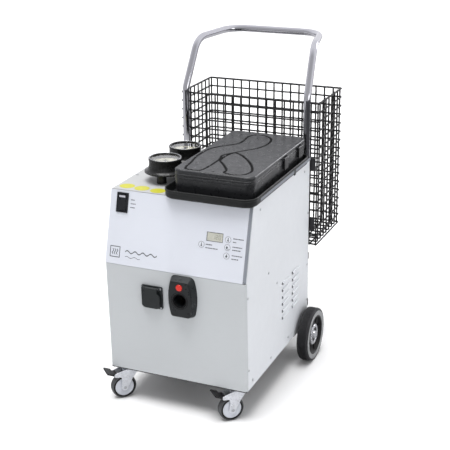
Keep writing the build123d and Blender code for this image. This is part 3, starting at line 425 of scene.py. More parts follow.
def lathe(profile, centre, axis, segments=72, closed=True):
    """Turned shape from (along, radius) points about an axis through the centre; the profile is a closed outline."""
    axis = Vector(axis).normalized()
    side = axis.orthogonal().normalized()
    other = axis.cross(side)
    points, faces = [], []
    count = len(profile)
    for s in range(segments):
        angle = 2 * pi * s / segments
        ray = side * cos(angle) + other * sin(angle)
        points += [Vector(centre) + axis * along + ray * radius for along, radius in profile]
    steps = count if closed else count - 1
    for s in range(segments):
        a, b = s * count, ((s + 1) % segments) * count
        for k in range(steps):
            k2 = (k + 1) % count
            faces.append((a + k, b + k, b + k2, a + k2))
    return points, faces


def arc(centre, radius, start, end, steps):
    """Points on an arc in a plane; angles in degrees."""
    return [(centre[0] + radius * cos(radians(start + (end - start) * k / steps)),
             centre[1] + radius * sin(radians(start + (end - start) * k / steps))) for k in range(steps + 1)]


def slab(outline, low, high, place):
    """Closed plate from a flat outline; place(u, v, w) gives a point in metres."""
    count = len(outline)
    points = [place(u, v, low) for u, v in outline] + [place(u, v, high) for u, v in outline]
    faces = [tuple(reversed(range(count))), tuple(range(count, 2 * count))]
    faces += [(k, (k + 1) % count, count + (k + 1) % count, count + k) for k in range(count)]
    return points, faces


def rounded_outline(u0, u1, v0, v1, radius, steps=5):
    outline = []
    for cu, cv, start in ((u1 - radius, v1 - radius, 0), (u0 + radius, v1 - radius, 90),
                          (u0 + radius, v0 + radius, 180), (u1 - radius, v0 + radius, 270)):
        outline += arc((cu, cv), radius, start, start + 90, steps)
    return outline


def ring_sweep(x0, x1, y0, y1, radius, profile, corner_steps=14, closed=True):
    """Moulding that follows a rounded rectangle; the profile is a list of (outset, z)."""
    centres = ((x1 - radius, y1 - radius, 0), (x0 + radius, y1 - radius, 90),
               (x0 + radius, y0 + radius, 180), (x1 - radius, y0 + radius, 270))
    points, faces = [], []
    rays = []
    for cx, cy, start in centres:
        for k in range(corner_steps + 1):
            angle = radians(start + 90 * k / corner_steps)
            rays.append((cx, cy, cos(angle), sin(angle)))
    count = len(profile)
    for cx, cy, nx, ny in rays:
        points += [(cx + nx * (radius + out), cy + ny * (radius + out), z) for out, z in profile]
    for s in range(len(rays)):
        a, b = s * count, ((s + 1) % len(rays)) * count
        for k in range(count if closed else count - 1):
            k2 = (k + 1) % count
            faces.append((a + k, b + k, b + k2, a + k2))
    return points, faces, len(rays)


# ---- CAD nodes that stay: smooth shading and their slot's material ------------------------------------------------
def smooth_group(angle):
    """Geometry nodes that weld a node's facets and shade it smooth up to an angle."""
    group = bpy.data.node_groups.new("weld_and_smooth", "GeometryNodeTree")
    group.interface.new_socket("Geometry", in_out="INPUT", socket_type="NodeSocketGeometry")
    group.interface.new_socket("Geometry", in_out="OUTPUT", socket_type="NodeSocketGeometry")
    enter = group.nodes.new("NodeGroupInput")
    leave = group.nodes.new("NodeGroupOutput")
    weld = group.nodes.new("GeometryNodeMergeByDistance")
    weld.inputs["Distance"].default_value = 2e-6
    flat = group.nodes.new("GeometryNodeSetShadeSmooth")
    flat.domain = "FACE"
    sharp = group.nodes.new("GeometryNodeSetShadeSmooth")
    sharp.domain = "EDGE"
    sharp.inputs["Shade Smooth"].default_value = False
    edge = group.nodes.new("GeometryNodeInputMeshEdgeAngle")
    test = group.nodes.new("FunctionNodeCompare")
    test.data_type = "FLOAT"
    test.operation = "GREATER_THAN"
    test.inputs[1].default_value = radians(angle)
    group.links.new(enter.outputs[0], weld.inputs["Geometry"])
    group.links.new(weld.outputs["Geometry"], flat.inputs["Geometry"])
    group.links.new(flat.outputs["Geometry"], sharp.inputs["Geometry"])
    group.links.new(edge.outputs["Unsigned Angle"], test.inputs[0])
    group.links.new(test.outputs["Result"], sharp.inputs["Selection"])
    group.links.new(sharp.outputs["Geometry"], leave.inputs[0])
    return group


def dress_cad_nodes():
    group = smooth_group(32.0)
    for part in frame["record"]["subparts"]:
        node = frame["nodes"][part["node"]]
        node.data.materials.clear()
        own = TOP_SHEET if part["node"] == "top_panel" else MATERIALS[part["material_slot"]]
        node.data.materials.append(own)
        if "custom_normal" in node.data.attributes:
            node.data.attributes.remove(node.data.attributes["custom_normal"])
        modifier = node.modifiers.new("weld_and_smooth", "NODES")
        modifier.node_group = group


# ---- basket ------------------------------------------------------------------------------------------------------
def make_basket():
    low, high = node_box("wire_basket")
    wire, cell, bend = 2.75, 30.75, 5.0
    x0, x1, y0, y1, z0, z1 = low.x, high.x, low.y, high.y, low.z, high.z
    columns, deep, rows = round((x1 - x0) / cell), round((y1 - y0) / cell), round((z1 - z0) / cell)
    basket = Builder()
    inner = 2 * wire
    for row in range(rows + 1):
        z = z0 + inner + wire + (z1 - z0 - inner - 2 * wire) * row / rows
        size = wire if row < rows else wire * 1.15
        z = min(z, z1 - size)
        corners = [(x0 + size, y0 + size, z), (x1 - size, y0 + size, z), (x1 - size, y1 - size, z),
                   (x0 + size, y1 - size, z)]
        basket.add(*tube(rounded_path(corners, bend, 5, True), size, 8, True))
    for column in range(1, columns):
        x = x0 + (x1 - x0) * column / columns
        front, back, floor = y0 + wire + inner, y1 - wire - inner, z0 + wire
        corners = [(x, front, z1 - wire), (x, front, floor), (x, back, floor), (x, back, z1 - wire)]
        basket.add(*tube(rounded_path(corners, bend, 4), wire, 8))
    for step in range(1, deep):
        y = y0 + (y1 - y0) * step / deep
        left, right, floor = x0 + wire + inner, x1 - wire - inner, z0 + wire + inner
        corners = [(left, y, z1 - wire), (left, y, floor), (right, y, floor), (right, y, z1 - wire)]
        basket.add(*tube(rounded_path(corners, bend, 4), wire, 8))
    inset = 2.6 * wire
    for x in (x0 + inset, x1 - inset):
        for y in (y0 + inset, y1 - inset):
            basket.add(*tube([Vector((x, y, z0 + wire)), Vector((x, y, z1 - wire))], wire, 8))
    piece = basket.piece("basket_wires", "basket_black", "cabinet")
    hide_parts("wire_basket")


# ---- tray ----------------------------------------------------------------------------------------------------------
def make_tray():
    low, high = node_box("case_tray")
    corner = 42.0
    wall, lip = 5.0, 4.0
    z0, z1 = low.z, high.z
    rim = [(-lip / 2 + lip / 2 * cos(radians(a)), z1 - lip / 2 + lip / 2 * sin(radians(a))) for a in range(0, 181, 30)]
    profile = [(-9.0 + 8.0 * sin(radians(a)), z0 + 8.0 - 8.0 * cos(radians(a))) for a in range(0, 91, 18)]
    profile += [(-1.0, z1 - 8.5), (-0.2, z1 - 7.4), (0.0, z1 - 6.0)] + rim
    profile += [(-wall, z1 - 6.0), (-wall - 0.6, z0 + 6.0), (-wall - 2.5, z0 + 3.2)]
    points, faces, count = ring_sweep(low.x, high.x, low.y, high.y, corner, profile, 16, False)
    size = len(profile)
    faces.append(tuple(s * size for s in range(count)))
    faces.append(tuple(s * size + size - 1 for s in reversed(range(count))))
    piece = new_piece("tray_shell", points, faces, "tray_black", "cabinet")
    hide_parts("case_tray")
    # Grey band along the tray's black right wall: painted sheen, standing in for the pale gloss seen along that side.
    sheen_band = Builder()
    outline = rounded_outline(low.y + 62, high.y - 8, z0 + 8.5, z1 - 9.5, 3.0)
    sheen_band.add(*slab(outline, high.x - 1.1, high.x - 0.4, lambda u, v, w: Vector((w, u, v))))
    sheen_band.piece("tray_side_painted_sheen", "panel_light", "cabinet", material=STRIP_GREY, angle=25)
    tab = Builder()
    tab.add(*slab(rounded_outline(100, 115, z0 + 0.5, z1 - 8, 2.0), high.x - 2.0, high.x - 0.1,
                  lambda u, v, w: Vector((w, u, v))))
    tab.piece("tray_side_tab", "tray_black", "cabinet", angle=25)


# ---- accessory case ------------------------------------------------------------------------------------------------
CASE_CORNER = 25.0
NOZZLE_GROOVE = [(4, -188), (34, -195), (58, -182), (62, -72), (54, -30), (75, 8), (102, 48), (126, 82), (138, 140),
                 (123, 200), (77, 227), (49, 196), (51, 114), (11, 61), (-12, 15), (-15, -65), (-6, -120)]
POD_GROOVE = [(74, 5), (108, -8), (160, -70), (194, -136), (194, -174), (176, -192), (146, -195), (127, -186),
              (122, -158), (92, -112), (66, -71)]


def soft_loop(corners, steps=5):
    """Closed smooth line through the corners."""
    count = len(corners)
    loop = []
    for i in range(count):
        p0, p1, p2, p3 = (Vector(corners[(i + k) % count]) for k in (-1, 0, 1, 2))
        for s in range(steps):
            t = s / steps
            loop.append(((2 * p1) + (p2 - p0) * t + (2 * p0 - 5 * p1 + 4 * p2 - p3) * t * t
                         + (3 * p1 - p0 - 3 * p2 + p3) * t ** 3) / 2)
    return loop


class Groove:
    """Depth of a moulded channel that follows a closed line, and of the panel inside it."""

    def __init__(self, corners, half_width, depth, panel):
        self.loop = soft_loop(corners)
        self.half_width, self.depth, self.panel = half_width, depth, panel
        self.low = (min(p.x for p in self.loop) - 6, min(p.y for p in self.loop) - 6)
        self.high = (max(p.x for p in self.loop) + 6, max(p.y for p in self.loop) + 6)

    def at(self, x, y):
        if not (self.low[0] < x < self.high[0] and self.low[1] < y < self.high[1]):
            return 0.0
        nearest, inside = 1e9, False
        count = len(self.loop)
        for i in range(count):
            a, b = self.loop[i], self.loop[(i + 1) % count]
            dx, dy = b.x - a.x, b.y - a.y
            share = max(0.0, min(1.0, ((x - a.x) * dx + (y - a.y) * dy) / (dx * dx + dy * dy + 1e-9)))
            nearest = min(nearest, hypot(x - a.x - dx * share, y - a.y - dy * share))
            if (a.y > y) != (b.y > y) and x < dx * (y - a.y) / (dy or 1e-9) + a.x:
                inside = not inside
        step = self.panel * min(1.0, nearest / 3.0) if inside else 0.0
        if nearest > self.half_width:
            return -step
        return -step - self.depth * (0.5 + 0.5 * cos(pi * nearest / self.half_width)) ** 0.6


def make_lid():
    low, high = node_box("case_lid")
    base_low, base_high = node_box("case_base")
    x0, x1 = -29.0, 226.0
    y0, y1 = base_low.y, base_high.y
    z0, z1 = low.z, high.z
    z0 = max(z0, base_high.z) + 0.3
    top = z1 - 0.2
    step, lip = 1.7, 8.0
    grooves = [Groove(NOZZLE_GROOVE, 4.2, 4.3, 0.3), Groove(POD_GROOVE, 4.2, 4.3, 0.3)]
    half_x, half_y = (x1 - x0) / 2 - lip, (y1 - y0) / 2 - lip
    mid_x, mid_y = (x0 + x1) / 2, (y0 + y1) / 2
    columns, lines = round(2 * half_x / step), round(2 * half_y / step)
    corner = CASE_CORNER - lip
    points, faces = [], []
    for j in range(lines + 1):
        for i in range(columns + 1):
            x, y = -half_x + 2 * half_x * i / columns, -half_y + 2 * half_y * j / lines
            cx, cy = abs(x) - (half_x - corner), abs(y) - (half_y - corner)
            if cx > 0 and cy > 0:
                scale = max(cx, cy) / hypot(cx, cy)
                x = (half_x - corner + cx * scale) * (1 if x > 0 else -1)
                y = (half_y - corner + cy * scale) * (1 if y > 0 else -1)
            x, y = x + mid_x, y + mid_y
            height = sum(g.at(x, y) for g in grooves)
            screw = hypot(x - 95, y + 192)
            height -= 1.6 if screw < 3.2 else 0.0
            points.append((x, y, top + max(height, -4.6)))
    width = columns + 1
    for j in range(lines):
        for i in range(columns):
            a = j * width + i
            faces.append((a, a + 1, a + width + 1, a + width))
    edge = [i for i in range(width)]
    edge += [j * width + columns for j in range(1, lines + 1)]
    edge += [lines * width + i for i in range(columns - 1, -1, -1)]
    edge += [j * width for j in range(lines - 1, 0, -1)]
    ring = edge
    wall = [(1.0, top + 0.15)]
    wall += [(1.6 + 6.0 * sin(radians(a)), top - 5.8 + 6.0 * cos(radians(a))) for a in range(0, 91, 15)]
    wall += [(7.7, z0 + 8.2), (7.2, z0 + 7.6), (7.2, z0 + 6.4), (8.0, z0 + 5.8), (8.0, z0 + 0.8), (7.4, z0),
            (4.6, z0), (4.4, top - 5.0), (0.0, top - 6.0)]
    outward = []
    for index in ring:
        x, y, _ = points[index]
        cx, cy = abs(x - mid_x) - (half_x - corner), abs(y - mid_y) - (half_y - corner)
        if cx > 0 and cy > 0:
            nx, ny = cx / hypot(cx, cy), cy / hypot(cx, cy)
        elif cx - corner > cy - corner:
            nx, ny = 1.0, 0.0
        else:
            nx, ny = 0.0, 1.0
        outward.append((nx * (1 if x > mid_x else -1), ny * (1 if y > mid_y else -1)))
    previous = ring
    base = [points[index] for index in ring]
    for out, z in wall:
        start = len(points)
        points += [(p[0] + n[0] * out, p[1] + n[1] * out, z) for p, n in zip(base, outward)]
        current = list(range(start, start + len(ring)))
        for k in range(len(ring)):
            k2 = (k + 1) % len(ring)
            faces.append((previous[k], current[k], current[k2], previous[k2]))
        previous = current
    faces.append(tuple(previous))
    piece = new_piece("case_lid_shell", points, faces, "case_black", "case_lid", angle=48.0)
    # Faces sunk more than 1.1 mm into the grooves take the shade black: painted shade in the groove bottoms.
    piece.data.materials.append(SHADE_BLACK)
    for polygon in piece.data.polygons:
        if len(polygon.vertices) == 4 and polygon.index < columns * lines:
            depth = sum(top - points[i][2] for i in polygon.vertices) / 4
            polygon.material_index = 1 if depth > 1.1 else 0
    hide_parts("case_lid")
    make_lid_lugs()


def make_lid_lugs():
    """Lugs and pins that carry the two latches, and the lid's hinge knuckles."""
    lugs = Builder()
    for tag in ("front", "rear"):
        low, high = node_box(f"case_latch_{tag}")
        x, z = high.x - 3.2, high.z - 3.2
        for y in (low.y - 2.0, high.y + 2.0):
            outline = [(x + 3.3 * cos(radians(a)), z + 3.3 * sin(radians(a))) for a in range(-90, 91, 15)]
            outline += [(x - 6.0, z + 3.3), (x - 6.0, z - 3.3)]
            lugs.add(*slab(outline, y - 1.4, y + 1.4, lambda u, v, w: Vector((u, w, v))))
        lugs.add(*tube([Vector((x, low.y - 3.3, z)), Vector((x, high.y + 3.3, z))], 1.45, 12))
    pins_low, _ = node_box("case_hinge_pins")
    hinge_x, hinge_z = pins_low.x + 1.5, pins_low.z + 1.5
    for y0 in (-119.5, 180.5):
        profile = [(0, 1.6), (0, 3.4), (30, 3.4), (30, 1.6)]
        lugs.add(*lathe(profile, (hinge_x, y0, hinge_z), (0, 1, 0), 24))
        outline = [(hinge_x - 3.2, hinge_z + 1), (hinge_x + 4, hinge_z + 1), (hinge_x + 4, hinge_z + 9),
                   (hinge_x - 1.5, hinge_z + 9)]
        lugs.add(*slab(outline, y0, y0 + 30, lambda u, v, w: Vector((u, w, v))))
    lugs.piece("case_lid_lugs", "case_black", "case_lid")


def make_base():
    low, high = node_box("case_base")
    x0, x1, y0, y1 = -29.0, 226.0, low.y, high.y
    z0, z1 = low.z, high.z
    profile = [(-9.0, z0), (-6.0, z0 + 1.0), (-4.6, z0 + 4.0), (-3.4, z0 + 18.0), (-2.9, z0 + 26.0), (-2.9, z0 + 27.2),
               (-2.1, z0 + 28.0), (-1.4, z1 - 8.0), (-0.2, z1 - 7.0), (0.0, z1 - 6.0), (0.0, z1 - 0.6),
               (-0.6, z1 - 0.05), (-3.4, z1 - 0.05), (-3.6, z1 - 9.0), (-6.6, z0 + 6.0), (-9.5, z0 + 3.0)]
    points, faces, count = ring_sweep(x0, x1, y0, y1, CASE_CORNER, profile, 14, False)
    size = len(profile)
    faces.append(tuple(s * size for s in range(count)))
    faces.append(tuple(s * size + size - 1 for s in reversed(range(count))))
    shell = Builder()
    shell.add([Vector(p) for p in points], faces)
    pins_low, _ = node_box("case_hinge_pins")
    hinge_x, hinge_z = pins_low.x + 1.5, pins_low.z + 1.5
    for start in (-150.0, 150.0):
        shell.add(*lathe([(0, 1.6), (0, 3.4), (30, 3.4), (30, 1.6)], (hinge_x, start, hinge_z), (0, 1, 0), 24))
        outline = [(hinge_x - 3.2, hinge_z - 1), (hinge_x - 1.5, hinge_z - 9), (hinge_x + 4, hinge_z - 9),
                   (hinge_x + 4, hinge_z - 1)]
        shell.add(*slab(outline, start, start + 30, lambda u, v, w: Vector((u, w, v))))
    for tag in ("front", "rear"):
        latch_low, latch_high = node_box(f"case_latch_{tag}")
        outline = rounded_outline(latch_low.y + 2, latch_high.y - 2, z1 - 26, z1 - 12, 2)
        shell.add(*slab(outline, x1 - 4.0, x1 - 0.3, lambda u, v, w: Vector((w, u, v))))
    piece = shell.piece("case_base_shell", "case_black", "case")
    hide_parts("case_base")


# ---- wheels ----------------------------------------------------------------------------------------------------------
def make_rear_wheel(side, tag):
    low, high = node_box(f"rear_tyre_{tag}")
    centre = Vector((0, (low.y + high.y) / 2, (low.z + high.z) / 2))
    inner, outer = (low.x, high.x) if side > 0 else (-high.x, -low.x)
    body = f"rear_wheel_{tag}"
    axis = (side, 0, 0)
    big = (high.z - low.z) / 2

    tread = [(inner + 0.2, 66.5), (inner + 0.2, big - 14)]
    tread += [(inner + 0.2 + 6 * (1 - cos(radians(a))), big - 6.5 + 6 * sin(radians(a))) for a in range(0, 91, 18)]
    ribs, groove, margin = 6, 1.7, 7.5
    width = (outer - inner - 2 * margin) / ribs
    for k in range(ribs):
        start = inner + margin + k * width
        tread += [(start + 0.2, big - groove), (start + groove, big - groove), (start + groove + 0.5, big - 0.1),
                  (start + width - 0.3, big - 0.1)]
    tread += [(outer - 6.2 + 6 * sin(radians(a)), big - 6.5 + 6 * cos(radians(a))) for a in range(0, 91, 18)]
    tread += [(outer - 0.4, big - 8), (outer - 0.8, big - 9), (outer - 0.5, 68.5), (outer - 1.2, 66.5)]
    tyre = Builder()
    tyre.add(*lathe(tread, centre, axis, 96))
    piece = tyre.piece(f"tyre_rear_{tag}", "tyre_rubber", body, angle=50)
    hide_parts(f"rear_tyre_{tag}")

    band = [(outer - 0.9, 66.6), (outer - 0.3, 67.6), (outer - 0.05, 70.0), (outer - 0.05, big - 10.0)]
    band += [(outer - 0.6, big - 7.2), (outer - 2.4, big - 3.9), (outer - 3.0, big - 4.4), (outer - 1.4, big - 9.0)]
    ring = Builder()
    ring.add(*lathe(band, centre, axis, 96))
    ring.piece(f"sidewall_rear_{tag}", "tyre_rubber", body, material=SIDEWALL)

    rim = [(inner - 1.5, 8.4), (inner - 1.5, 21), (inner + 8, 24), (inner + 10, 56), (inner + 2, 61), (inner + 2, 66.3),
           (outer - 1.6, 66.3), (outer - 0.9, 65.4), (outer - 0.9, 62.4), (outer - 2.0, 61.5), (outer - 9, 59.0),
           (outer - 10.5, 56.5), (outer - 11.2, 48), (outer - 11.2, 42), (outer - 9.8, 36.5), (outer - 9.8, 8.4)]
    wheel = Builder()
    wheel.add(*lathe(rim, centre, axis, 96))
    for k in range(8):
        angle = radians(k * 45 + 12)
        for shift in (-0.05, 0.05):
            start = centre + Vector((side * (outer - 10.4), 37 * cos(angle + shift), 37 * sin(angle + shift)))
            end = centre + Vector((side * (outer - 8.6), 59 * cos(angle + shift * 0.6), 59 * sin(angle + shift * 0.6)))
            wheel.add(*tube([start, end], 1.5, 8))
    piece = wheel.piece(f"rim_rear_{tag}", "rim_black", body)
    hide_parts(f"rear_rim_{tag}")

    cap = [(outer - 9.6, 8.5), (outer - 9.6, 35), (outer - 7, 35), (outer - 5, 33.6), (outer - 4.2, 31.5),
           (outer - 4.0, 26.5), (outer - 4.6, 25), (outer - 7.4, 23.8), (outer - 7.8, 15.5), (outer - 6.5, 13.6),
           (outer - 2.2, 12.4), (outer - 1.0, 10.4), (outer - 0.6, 5.5), (outer - 0.6, 0.02), (outer - 4.4, 0.02)]
    hub = Builder()
    hub.add(*lathe(cap, centre, axis, 64))
    piece = hub.piece(f"cap_rear_{tag}", "cap_silver", body)
    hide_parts(f"hub_cap_{tag}")
    well = [(outer - 7.9, 15.0), (outer - 7.9, 24.2), (outer - 6.9, 24.2), (outer - 6.9, 15.0)]
    dark = Builder()
    dark.add(*lathe(well, centre, axis, 64))
    dark.piece(f"cap_well_{tag}", "rim_black", body)


def make_caster(side, tag):
    low, high = node_box(f"caster_tyre_{tag}")
    centre = (low + high) / 2
    big = (high.z - low.z) / 2
    joint = next(j for j in frame["joints"] if j["name"] == f"caster_{tag}_spin")
    axis = Vector(joint["axis"]).normalized()
    if axis.y > 0:
        axis = -axis
    body = f"caster_wheel_{tag}"
    half = 12.0
    tread = [(-half, 30.2), (-half, 34.5)]
    tread += [(-half + 5.5 * (1 - cos(radians(a))), 34.5 + 5.2 * sin(radians(a))) for a in range(10, 91, 16)]
    tread += [(-1.0, big - 0.05), (1.0, big - 0.05)]
    tread += [(half - 5.5 + 5.5 * sin(radians(a)), 34.5 + 5.2 * cos(radians(a))) for a in range(0, 81, 16)]
    tread += [(half, 34.5), (half, 30.2)]
    tyre = Builder()
    tyre.add(*lathe(tread, centre, axis, 72))
    piece = tyre.piece(f"tyre_caster_{tag}", "caster_grey", body, angle=50)
    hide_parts(f"caster_tyre_{tag}")
    # Black ring on each side of the tyre where it meets the disc: painted shade of the gap between disc and tyre.
    band = Builder()
    for face in (-1, 1):
        band.add(*lathe([(face * (half + 0.02), 30.1), (face * (half + 0.5), 30.8), (face * (half + 0.5), 34.8),
                         (face * (half - 0.4), 35.6)], centre, axis, 72))
    band.piece(f"tyre_gap_shade_{tag}", "caster_grey", body, material=MATERIALS["rim_black"])
    disc = [(-half - 1.8, 4.2), (-half - 1.8, 7.4), (-half - 0.6, 8.8), (-half + 0.2, 11), (-half - 0.1, 24.5),
            (-half - 0.6, 28.6), (-half + 0.6, 30.1), (half - 0.6, 30.1), (half + 0.6, 28.6), (half + 0.1, 24.5),
            (half - 0.2, 11), (half + 0.6, 8.8), (half + 1.8, 7.4), (half + 1.8, 4.2)]
    hub = Builder()
    hub.add(*lathe(disc, centre, axis, 72))
    piece = hub.piece(f"disc_caster_{tag}", "caster_white", body)
    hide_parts(f"caster_hub_{tag}")
    bolt = Builder()
    for face in (-1, 1):
        bolt.add(*lathe([(face * 19.2, 0.02), (face * 19.2, 5.2), (face * 20.6, 5.2), (face * 21.6, 4.0),
                         (face * 21.6, 0.02)], centre, axis, 6))
    bolt.piece(f"axle_nut_{tag}", "zinc", f"caster_fork_{tag}", material=MATERIALS["screw_steel"], angle=20)


# ---- gauges ------------------------------------------------------------------------------------------------------------
def text_shape(string, size):
    """Flat outline of a short label as points and faces, centred on the origin."""
    curve = bpy.data.curves.new("label", "FONT")
    curve.body = string
    curve.size = size
    curve.align_x = "CENTER"
    curve.align_y = "CENTER"
    curve.resolution_u = 3
    holder = bpy.data.objects.new("label", curve)
    mesh = bpy.data.meshes.new_from_object(holder)
    points = [v.co.copy() for v in mesh.vertices]
    faces = [tuple(p.vertices) for p in mesh.polygons]
    bpy.data.objects.remove(holder)
    bpy.data.meshes.remove(mesh)
    return points, faces


def make_gauge(tag, index):
    low, high = node_box("gauge_cases")
    radius, x = 50.0, (low.x + high.x) / 2
    y = (low.y if index == 0 else high.y) + (64.0 if index == 0 else -64.0)
    top = high.z
    bezel = Builder()
    bezel.add(*lathe([(top - 4.5, 51.3), (top + 0.2, 51.3), (top + 1.6, 50.2), (top + 2.0, 48.4), (top + 1.4, 46.2),
                      (top - 1.6, 44.3), (top - 1.6, 46.0), (top - 4.5, 50.9)], (x, y, 0), (0, 0, 1), 72))
    flange = low.z + (12.0 if low.z < 700 else 0.0)
    flange = max(flange, 713.0)
    flare = [(flange + 3.2, 49.0), (flange + 3.2, 62.5), (flange + 4.2, 60.5), (flange + 6.0, 57.4)]
    flare += [(flange + 9.0, 54.2), (flange + 13.0, 52.0), (flange + 18.0, 51.1), (flange + 18.0, 49.0)]
    bezel.add(*lathe(flare, (x, y, 0), (0, 0, 1), 72))
    bezel.piece(f"gauge_bezel_{tag}", "gauge_black", "cabinet")
    # Thin silver ring on the black bezel's crown: painted highlight along the glossy bezel's rim.
    rim = Builder()
    rim.add(*lathe([(top + 1.7, 47.0), (top + 2.25, 47.6), (top + 2.25, 49.0), (top + 1.7, 49.4)], (x, y, 0),
                   (0, 0, 1), 72))
    rim.piece(f"gauge_highlight_ring_{tag}", "gauge_black", "cabinet", material=MATERIALS["cap_silver"])
    dial_z = node_box("gauge_dials")[1].z + 0.05
    marks = Builder()
    heading, sweep = 215.0, 270.0 if index == 0 else 250.0
    heading += 20.0 * index
    for tick in range(41):
        angle = radians(heading - sweep * tick / 40)
        major = tick % 8 == 0
        inner, outer, half = (31.0 if major else 34.5), 38.5, (0.7 if major else 0.3)
        ray, across = Vector((cos(angle), sin(angle), 0)), Vector((-sin(angle), cos(angle), 0))
        corners = [ray * inner - across * half, ray * outer - across * half, ray * outer + across * half,
                   ray * inner + across * half]
        outline = [(c.x, c.y) for c in corners]
        marks.add(*slab(outline, dial_z, dial_z + 0.15, lambda u, v, w: Vector((x + u, y + v, w))))
        if major:
            points, faces = text_shape(str(tick // 4), 8.5)
            place = Vector((x, y, dial_z + 0.15)) + ray * 24.5
            turn = Matrix.Rotation(radians(23), 3, "Z")
            marks.add([place + turn @ p for p in points], faces)
    marks.add(*lathe([(dial_z, 39.0), (dial_z + 0.15, 39.0), (dial_z + 0.15, 39.8), (dial_z, 39.8)], (x, y, 0),
                     (0, 0, 1), 72))
    marks.piece(f"dial_marks_{tag}", "needle_black", "cabinet", angle=20)


# ---- printed marks, labels ------------------------------------------------------------------------------------------------
def on_fascia(u, v, w):
    return FASCIA.at(u, v, w)


def fascia_piece(name, shapes, material, slot="fascia_white", low=0.02, high=0.18, body="cabinet"):
    print_layer = Builder()
    for outline in shapes:
        print_layer.add(*slab(outline, low, high, on_fascia))
    return print_layer.piece(name, slot, body, material=material, placed=True, angle=20)


def ring_strips(x, up, inner, outer, start=0, end=360, steps=24):
    """Ring cut into short flat pieces."""
    shapes = []
    for k in range(steps):
        a0, a1 = radians(start + (end - start) * k / steps), radians(start + (end - start) * (k + 1) / steps)
        shapes.append([(x + r * cos(a), up + r * sin(a)) for r, a in ((inner, a0), (outer, a0), (outer, a1),
                                                                     (inner, a1))])
    return shapes


def legend(x0, x1, up, height=2.6, words=2):
    """Unreadable printed line: a few short bars of uneven length."""
    shapes, x = [], x0
    while x < x1 - 1.0:
        length = min(random.uniform(2.0, 5.0), x1 - x)
        shapes.append([(x, up - height / 2), (x + length, up - height / 2), (x + length, up + height / 2),
                       (x, up + height / 2)])
        x += length + random.uniform(0.7, 1.5)
    return shapes


def wave_strips(x, up, reach, swing, half, upright=False, bends=0.42):
    """Plain wavy line cut into short flat pieces; it runs across, or up when upright."""
    shapes, along = [], -reach
    while along < reach - 1e-6:
        ahead = min(along + 1.2, reach)
        near, far = swing * sin(along * bends), swing * sin(ahead * bends)
        corners = [(along, near - half), (ahead, far - half), (ahead, far + half), (along, near + half)]
        shapes.append([(x + v, up + u) if upright else (x + u, up + v) for u, v in corners])
        along = ahead
    return shapes


KEY_AT = {"key_temperature": (80.5, 98.0), "key_steam": (162.5, 122.2), "key_vacuum": (162.2, 99.5),
          "key_refill": (161.7, 74.8)}


def make_fascia_print():
    shapes = []
    for up, x1 in ((199, -146), (187.5, -142), (176, -146)):
        shapes += legend(-160, x1, up, 3.0)
    for up, x1 in ((127, 208), (117, 186), (103, 206), (94, 203), (78, 209), (68, 199)):
        shapes += legend(178, x1 + 2, up, 3.0)
    shapes += legend(94, 114, 100, 3.0) + legend(94, 134, 90, 3.0)
    fascia_piece("printed_legends", shapes, INK)

    mark_x, mark_up, half, rim = -199.0, 38.0, 17.0, 2.4
    emblem = []
    for side in (-1, 1):
        near, far = sorted((side * half, side * (half - rim)))
        emblem.append([(mark_x + u, mark_up + v) for u, v in ((near, -half), (far, -half), (far, half), (near, half))])
        emblem.append([(mark_x + u, mark_up + v) for u, v in ((rim - half, near), (half - rim, near),
                                                              (half - rim, far), (rim - half, far))])
    for shift in (-7.0, 0.0, 7.0):
        emblem += wave_strips(mark_x + shift, mark_up, 9.0, 2.2, 1.3, upright=True)
    emblem += wave_strips(-112.0, 42.0, 53.0, 3.6, 1.7, bends=0.24)
    emblem += wave_strips(-139.0, 26.0, 25.0, 2.2, 0.8, bends=0.24)
    fascia_piece("steam_emblem", emblem, INK)

    for name, (x, up) in KEY_AT.items():
        shapes = ring_strips(x, up, 8.3, 9.2, steps=28)
        if name in ("key_temperature", "key_steam"):
            shapes.append(arc((x, up - 3.0), 2.6, 0, 330, 10))
            shapes.append([(x - 1.1, up - 2.0), (x + 1.1, up - 2.0), (x + 1.1, up + 5.5), (x - 1.1, up + 5.5)])
        elif name == "key_vacuum":
            shapes.append(arc((x - 1.5, up), 3.2, 0, 330, 10))
            shapes.append([(x - 4.5, up - 5.0), (x + 5.0, up - 5.0), (x + 5.0, up - 3.4), (x - 4.5, up - 3.4)])
        else:
            shapes.append(arc((x, up - 1.5), 3.4, 0, 330, 10))
            shapes.append([(x - 0.8, up + 1.0), (x + 0.8, up + 1.0), (x + 2.2, up + 5.4), (x + 0.4, up + 5.4)])
        face = 0.62
        fascia_piece(f"pictogram_{name[4:]}", shapes, INK, "key_white", face, face + 0.12, name)


